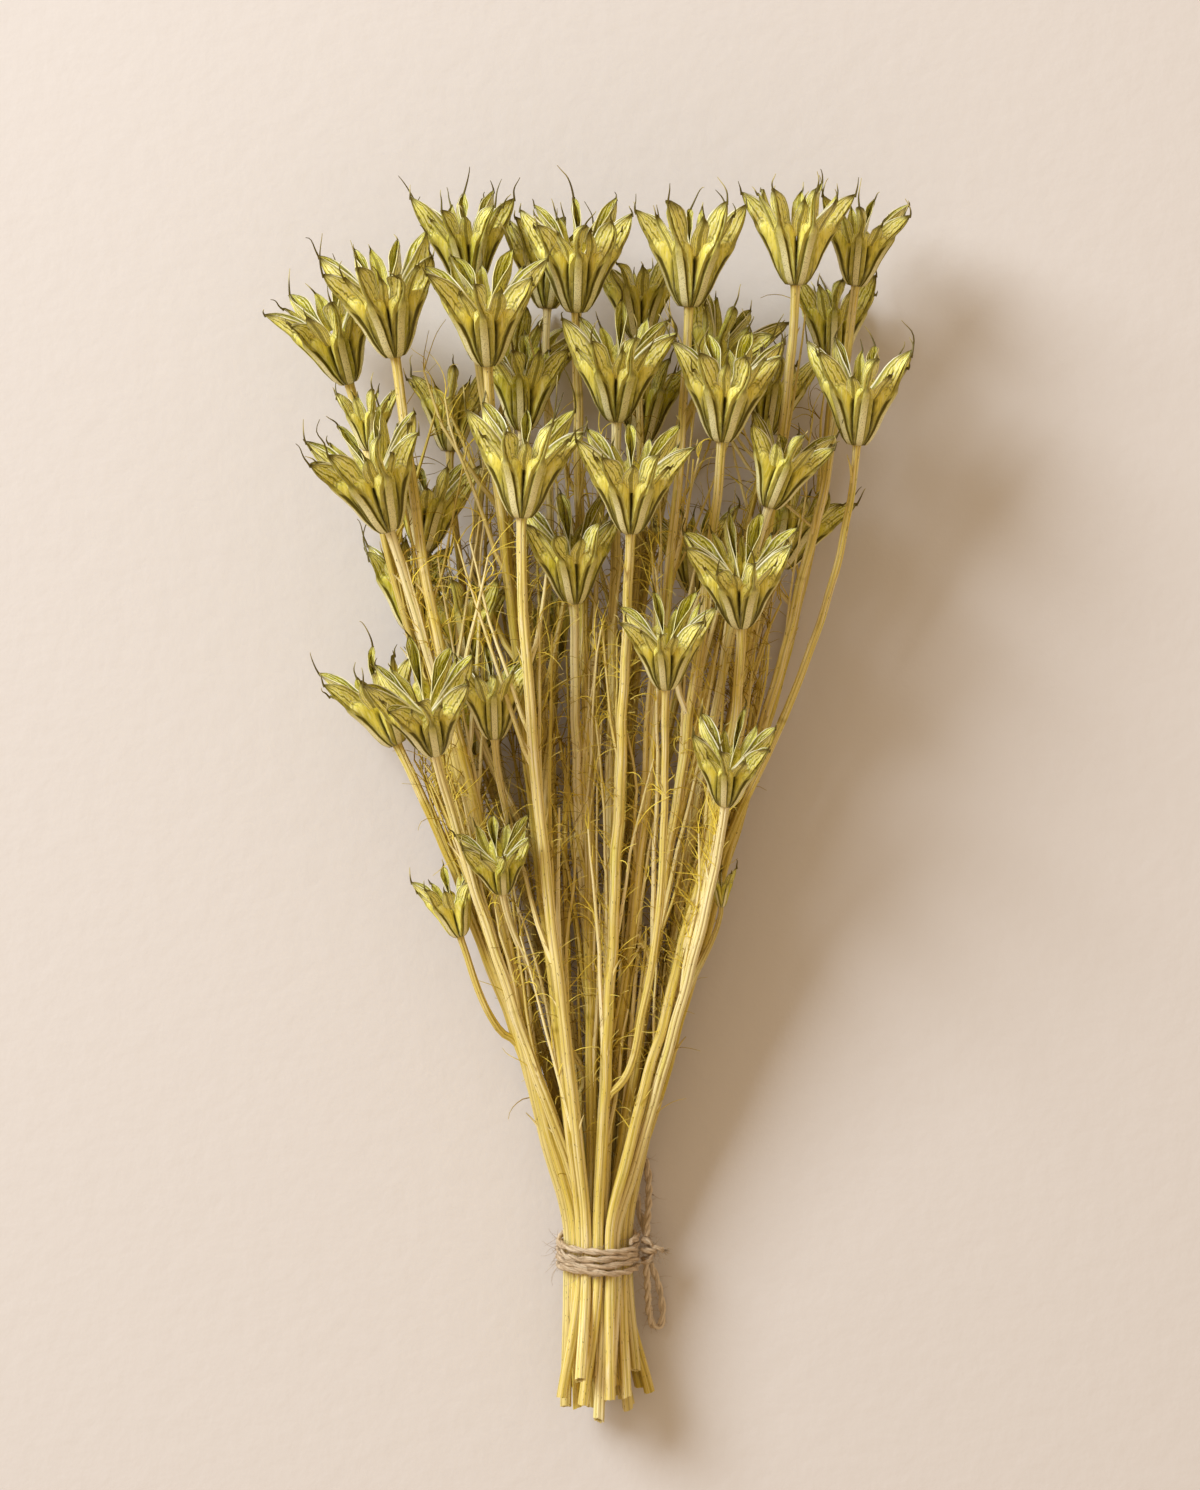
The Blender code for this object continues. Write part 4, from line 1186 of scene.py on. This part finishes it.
def length_prop(name, description, default):
    """A length in metres."""
    return FloatProperty(name=name, description=description, default=default, min=0.0, unit="LENGTH",
                         subtype="DISTANCE", precision=5)


def colour_prop(name, description, default):
    """A linear colour."""
    return FloatVectorProperty(name=name, description=description, default=default, size=3, min=0.0,
                               max=1.0, subtype="COLOR")


class PodLooks(bpy.types.PropertyGroup):
    """The seed pods"""
    beak_length: length_prop("Beak length", "Thread at the tip of a follicle", 0.01)
    # Olive also paints shade on pods low in the bunch; gold leans to those high in it
    olive: colour_prop("Olive", "Walls of a green pod", (0.62, 0.555, 0.022))
    gold: colour_prop("Gold", "Walls of a ripe pod", (0.93, 0.80, 0.15))
    green: colour_prop("Green", "Walls near the tips", (0.60, 0.58, 0.035))
    # Pale also paints a highlight along the bulge of each wall
    pale: colour_prop("Pale", "Pale streaks on the walls", (1.0, 0.95, 0.64))
    # This colour is also painted shade where follicles touch, on the flanks and beside the ribs
    shade: colour_prop("Shade", "Dark streaks on the walls", (0.085, 0.064, 0.003))
    # The lining is partly its own green and partly darkened as painted shade
    lining: colour_prop("Lining", "Inside of a follicle", (0.40, 0.345, 0.012))
    # This colour also paints the shade in the groove beside each rib
    vein: colour_prop("Vein", "Fine lines on the walls", (0.055, 0.038, 0.002))
    rib: colour_prop("Rib", "Rib along a follicle's back", (1.0, 0.90, 0.52))
    cream: colour_prop("Margin", "Edges of the open follicles", (1.0, 0.93, 0.66))
    tip: colour_prop("Tip", "Tips and beaks", (0.105, 0.075, 0.009))


class StemLooks(bpy.types.PropertyGroup):
    """The stems"""
    fullness: FloatProperty(name="Fullness", description="Stem thickness over the packed model's",
                            default=1.08, min=0.8, max=1.3, subtype="FACTOR")
    groove: FloatProperty(name="Groove", description="Depth of the flutes, as a share of the radius",
                          default=0.18, min=0.0, max=0.5, subtype="FACTOR")
    straw: colour_prop("Straw", "Young stems", (0.95, 0.79, 0.35))
    tan: colour_prop("Tan", "Older stems", (0.79, 0.59, 0.12))
    green: colour_prop("Green", "Greenish stretches", (0.76, 0.70, 0.12))
    pale: colour_prop("Pale", "Pale fibres", (0.97, 0.84, 0.66))
    # Painted shade: the colour of stems deep in the bunch
    shaded_brown: colour_prop("Brown", "Stems deep in the bunch", (0.53, 0.365, 0.01))
    # This colour paints shade in the flutes and holes, besides the stems' own dark fibres and joints
    dark: colour_prop("Dark", "Grooves and fine dark fibres", (0.24, 0.145, 0.006))


class LeafLooks(bpy.types.PropertyGroup):
    """The dry leaves"""
    thickness: length_prop("Thickness", "Radius of a leaf thread", 0.0002)
    spacing: length_prop("Spacing", "Distance between tufts on a stem", 0.028)
    stalks: IntProperty(name="Stalks", description="Leaf stalks that leave each main stem",
                        default=14, min=0)
    colour: colour_prop("Colour", "Golden threads", (0.86, 0.65, 0.08))
    # Partly browner threads of their own, partly painted shade on threads deep in the bunch
    old_and_shaded: colour_prop("Old", "Browner threads", (0.28, 0.17, 0.012))


class TwineLooks(bpy.types.PropertyGroup):
    """The jute twine"""
    hairs: IntProperty(name="Hairs", description="Loose fibres on the wrapped turns",
                       default=420, min=0)
    hair_length: length_prop("Hair length", "Longest loose fibre", 0.008)
    tan: colour_prop("Tan", "Fibres in the light", (0.79, 0.60, 0.39))
    # Painted shade: fibres in the dark, besides the jute's own darker fibres
    shaded_brown: colour_prop("Brown", "Fibres in the dark", (0.50, 0.33, 0.17))


class StageLooks(bpy.types.PropertyGroup):
    """The surface, the light and the camera"""
    camera_height: length_prop("Camera height", "Camera above the surface", 2.0)
    floor: colour_prop("Floor", "The surface's colour", (0.695, 0.625, 0.565))
    window_size: length_prop("Window size", "Side of the soft window", 1.5)
    window_power: FloatProperty(name="Window power", description="Light from the window", default=121.0,
                                min=0.0, unit="POWER")
    window_colour: colour_prop("Window colour", "Cool light from the window", (0.78, 0.88, 1.0))
    room_colour: colour_prop("Room colour", "Warm light from the room", (1.0, 0.79, 0.56))
    room_strength: FloatProperty(name="Room strength", description="Light from the room", default=0.63,
                                 min=0.0)


# Steps

def settle(item, node=None):
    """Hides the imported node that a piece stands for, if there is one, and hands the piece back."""
    if node:
        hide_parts(node)
    return item


def read_sprigs():
    """All packed sprigs with their smooth stem lines, side shoots begun in their stems."""
    sprigs = {}
    for name in SPRIGS + SHOOTS:
        sprigs[name] = Sprig(name)
    mains = [smooth_line(sprigs[name].line, GUIDE_STEP) for name in SPRIGS]
    for number, (name, sprig) in enumerate(sprigs.items()):
        sprig.draw = np.random.default_rng(SPRIG_SEED + number)
        line = sprig.line if name in SPRIGS else fork_line(sprig.line, mains)
        inner = sprig.base + sprig.axis * STEM_INSIDE * sprig.size
        path = smooth_line(np.vstack([line, inner]), STEM_STEP)
        shares = np.linspace(0, 1, len(sprig.radii))
        sprig.widths = np.interp(np.linspace(0, 1, len(path)), shares, sprig.radii)
        sprig.path = wavy(path, sprig.draw)
    for sprig in sprigs.values():
        # Painted shade: how deep a stretch lies, above the tie and under higher stems, sets how much
        # browner it is drawn
        above_tie = np.interp(sprig.path[:, 1] - TIE[1], *SHADE_ABOVE_TIE)
        sprig.deep = above_tie + depth_below(sprig.path, [sprigs[name].path for name in SPRIGS])
    return sprigs


class NIGELLA_OT_sprigs(bpy.types.Operator):
    """Stems with their pods, one piece for each packed sprig"""
    bl_idname = "nigella.sprigs"
    bl_label = "Grow sprigs"

    def execute(self, context):
        pods, stems = context.scene.nigella_pods, context.scene.nigella_stems
        materials = [stem_finish(stems), back_finish(pods), inside_finish(pods), rim_finish(pods)]
        for name, sprig in read_sprigs().items():
            growth, draw = Growth(), sprig.draw
            tone = draw.uniform()
            add_stem(growth, sprig, sprig.path, sprig.widths, draw, stems, tone, name in SPRIGS)
            add_stubs(growth, sprig.path, draw, tone)
            # Painted shade: pods lower in the bunch lean from gold to the darker olive, on top of their
            # random tone
            ripe_and_lit = np.clip(0.5 * tone + sprig.base[2] / LIT_POD_HEIGHT, 0, 1)
            add_pod(growth, sprig, draw, pods, ripe_and_lit)
            settle(growth.piece(name + "_grown", materials), name)
        return {"FINISHED"}


class NIGELLA_OT_leaves(bpy.types.Operator):
    """Dry thread-like leaves between the stems"""
    bl_idname = "nigella.leaves"
    bl_label = "Grow leaves"

    def execute(self, context):
        looks = context.scene.nigella_leaves
        materials = [leaf_finish(looks), stem_finish(context.scene.nigella_stems)]
        sprigs = read_sprigs()
        ordered = sorted(sprigs, key=lambda name: sprigs[name].base[0])
        third = len(ordered) // 3
        groups = {"leaves_left": ordered[:third], "leaves_middle": ordered[third:2 * third],
                  "leaves_right": ordered[2 * third:]}
        lines = [sprigs[name].path for name in SPRIGS]
        outline = Outline(lines)
        for seed, (title, names) in enumerate(groups.items()):
            growth, draw = Growth(), np.random.default_rng(LEAF_SEED + seed)
            for name in names:
                line = sprigs[name].path
                for index in tuft_starts(line, lines, draw, looks.spacing / MM):
                    ahead = unit(line[index] - line[index - 1])
                    # Painted shade: tufts deep in the bunch lean to the darker colour
                    tone = draw.uniform(0, 0.6) + 0.5 * sprigs[name].deep[index]
                    add_tuft(growth, line[index], ahead, draw.integers(*STEM_TUFT), looks, draw, tone,
                             outline, 0.8)
                for _ in range(looks.stalks if name in SPRIGS else 0):
                    stalk = leaf_stalk(line, lines, draw)
                    if stalk is not None:
                        # Painted shade: stalks deep in the bunch lean to the darker colours
                        tone = draw.uniform(0, 0.6) + 0.5 * depth_below(stalk, lines).mean()
                        add_leaf(growth, stalk, looks, draw, tone, outline)
            settle(growth.piece(title, materials))
        return {"FINISHED"}


class NIGELLA_OT_twine(bpy.types.Operator):
    """The tie: wrapped turns, knot and the bow's two loops"""
    bl_idname = "nigella.twine"
    bl_label = "Tie twine"

    def execute(self, context):
        looks = context.scene.nigella_twine
        material, draw = jute_finish(looks), np.random.default_rng(TWINE_SEED)
        longest = looks.hair_length / MM
        growth = Growth()
        line = rope_parts(growth, wrap_route(), draw, 0.5, pitch=TURN_TWIST, scale=TURN_FULLNESS)
        add_fuzz(growth, line, looks.hairs, draw, longest, 0.6)
        add_fuzz(growth, line, looks.hairs // 14, draw, 2.2 * longest, 0.9)
        settle(growth.piece("tie_turns", [material]), "twine_wrap")
        self.knot(material, draw, longest)
        fibres = Growth()
        for title, node, route in (("bow_loop_low", "twine_loop_low", LOW_LOOP),
                                   ("bow_loop_high", "twine_loop_high", HIGH_LOOP)):
            growth, points = Growth(), bow_line(route)
            line = rope_parts(growth, points, draw, 1.4, pitch=BOW_TWIST, scale=BOW_FULLNESS)
            add_fuzz(fibres, line, LOOP_FIBRES, draw, longest * 0.8, 0.6)
            item = settle(growth.piece(title, [material]), node)
            lengths_along(points)[-1] * MM
        settle(fibres.piece("bow_fibres", [material]))
        return {"FINISHED"}

    def knot(self, material, draw, longest):
        """The knot's passes, and its tail that frays at the end."""
        growth, middle = Growth(), TIE_FLOOR + KNOT
        for route in KNOT_PASSES:
            line = rope_parts(growth, middle + np.array(route), draw, 0.5, 0.6)
            add_fuzz(growth, line, KNOT_FIBRES, draw, longest * 0.7, 0.6)
        tail_end = middle + np.array(KNOT_PASSES[-1][-1])
        for _ in range(FRAY_FIBRES):
            way = TAIL_WAY + 0.35 * draw.normal(size=3)
            points = thread(tail_end, way, draw.uniform(1.5, 4), 0.15, draw, FRAY_POINTS)
            growth.tube(points, np.linspace(*FRAY_RADII, FRAY_POINTS), 3, JUTE_SLOT, 0.7)
        settle(growth.piece("tie_knot", [material]), "twine_knot")


class NIGELLA_OT_stage(bpy.types.Operator):
    """Pale surface, soft light and a camera straight above"""
    bl_idname = "nigella.stage"
    bl_label = "Set stage"

    def execute(self, context):
        looks = context.scene.nigella_stage
        bpy.ops.object.select_all(action="DESELECT")
        bpy.ops.mesh.primitive_plane_add(size=FLOOR_SIZE, location=(0, 0, 0))
        floor = context.object
        floor.name = "surface"
        floor.data.materials.append(paper_finish(looks))
        self.lights(context, looks)
        self.camera(context, looks)
        return {"FINISHED"}

    def lights(self, context, looks):
        """A soft window at the upper left, and the room's own light."""
        world = bpy.data.worlds.new("studio")
        context.scene.world = world
        world.use_nodes = True
        background = world.node_tree.nodes["Background"]
        background.inputs["Color"].default_value = (*looks.room_colour, 1.0)
        background.inputs["Strength"].default_value = looks.room_strength
        bpy.ops.object.light_add(type="AREA", location=WINDOW)
        light = context.object
        light.name = "window"
        light.data.energy, light.data.size = looks.window_power, looks.window_size
        light.data.color = looks.window_colour
        light.rotation_euler = (-Vector(WINDOW)).to_track_quat("-Z", "Y").to_euler()
        context.scene.view_settings.view_transform = "Standard"

    def camera(self, context, looks):
        """Straight above, with the photograph's frame at the height of the bunch's middle."""
        wide, high = PICTURE
        right, ahead = wide / 2 - TIE_PIXEL[0], TIE_PIXEL[1] - high / 2
        centre = TIE + np.array([right * PIXEL, ahead * PIXEL, 0])
        data = bpy.data.cameras.new("camera")
        camera = bpy.data.objects.new("camera", data)
        context.scene.collection.objects.link(camera)
        camera.location = (centre[0] * MM, centre[1] * MM, looks.camera_height)
        distance = looks.camera_height - FRAME_HEIGHT
        data.lens = data.sensor_width * distance / (high * PIXEL * MM)
        data.clip_end = CAMERA_REACH
        context.scene.camera = camera


class NIGELLA_PT_panel(bpy.types.Panel):
    """Sizes, colours and steps of the bunch"""
    bl_label = "Nigella bunch"
    bl_idname = "NIGELLA_PT_panel"
    bl_space_type = "VIEW_3D"
    bl_region_type = "UI"
    bl_category = "Nigella"

    def draw(self, context):
        """Lists what a user may change, then the steps."""
        for group in GROUPS:
            for name in GROUPS[group].__annotations__:
                self.layout.prop(getattr(context.scene, group), name)
        for step in STEPS:
            self.layout.operator(step.bl_idname)


GROUPS = {"nigella_pods": PodLooks, "nigella_stems": StemLooks, "nigella_leaves": LeafLooks,
          "nigella_twine": TwineLooks, "nigella_stage": StageLooks}
STEPS = (NIGELLA_OT_stage, NIGELLA_OT_twine, NIGELLA_OT_sprigs, NIGELLA_OT_leaves)


def register():
    """Makes the looks, steps and panel known, and hangs the looks on the scene."""
    for group in GROUPS.values():
        bpy.utils.register_class(group)
    for name, group in GROUPS.items():
        setattr(bpy.types.Scene, name, PointerProperty(type=group))
    for step in STEPS + (NIGELLA_PT_panel,):
        bpy.utils.register_class(step)


def unregister():
    """Takes back what register has made known."""
    for step in (NIGELLA_PT_panel,) + STEPS[::-1]:
        bpy.utils.unregister_class(step)
    for name, group in GROUPS.items():
        delattr(bpy.types.Scene, name)
        bpy.utils.unregister_class(group)


def main():
    """Draws the whole bunch."""
    register()
    bpy.ops.nigella.stage()
    bpy.ops.nigella.twine()
    bpy.ops.nigella.sprigs()
    bpy.ops.nigella.leaves()


if __name__ == "__main__":
    main()
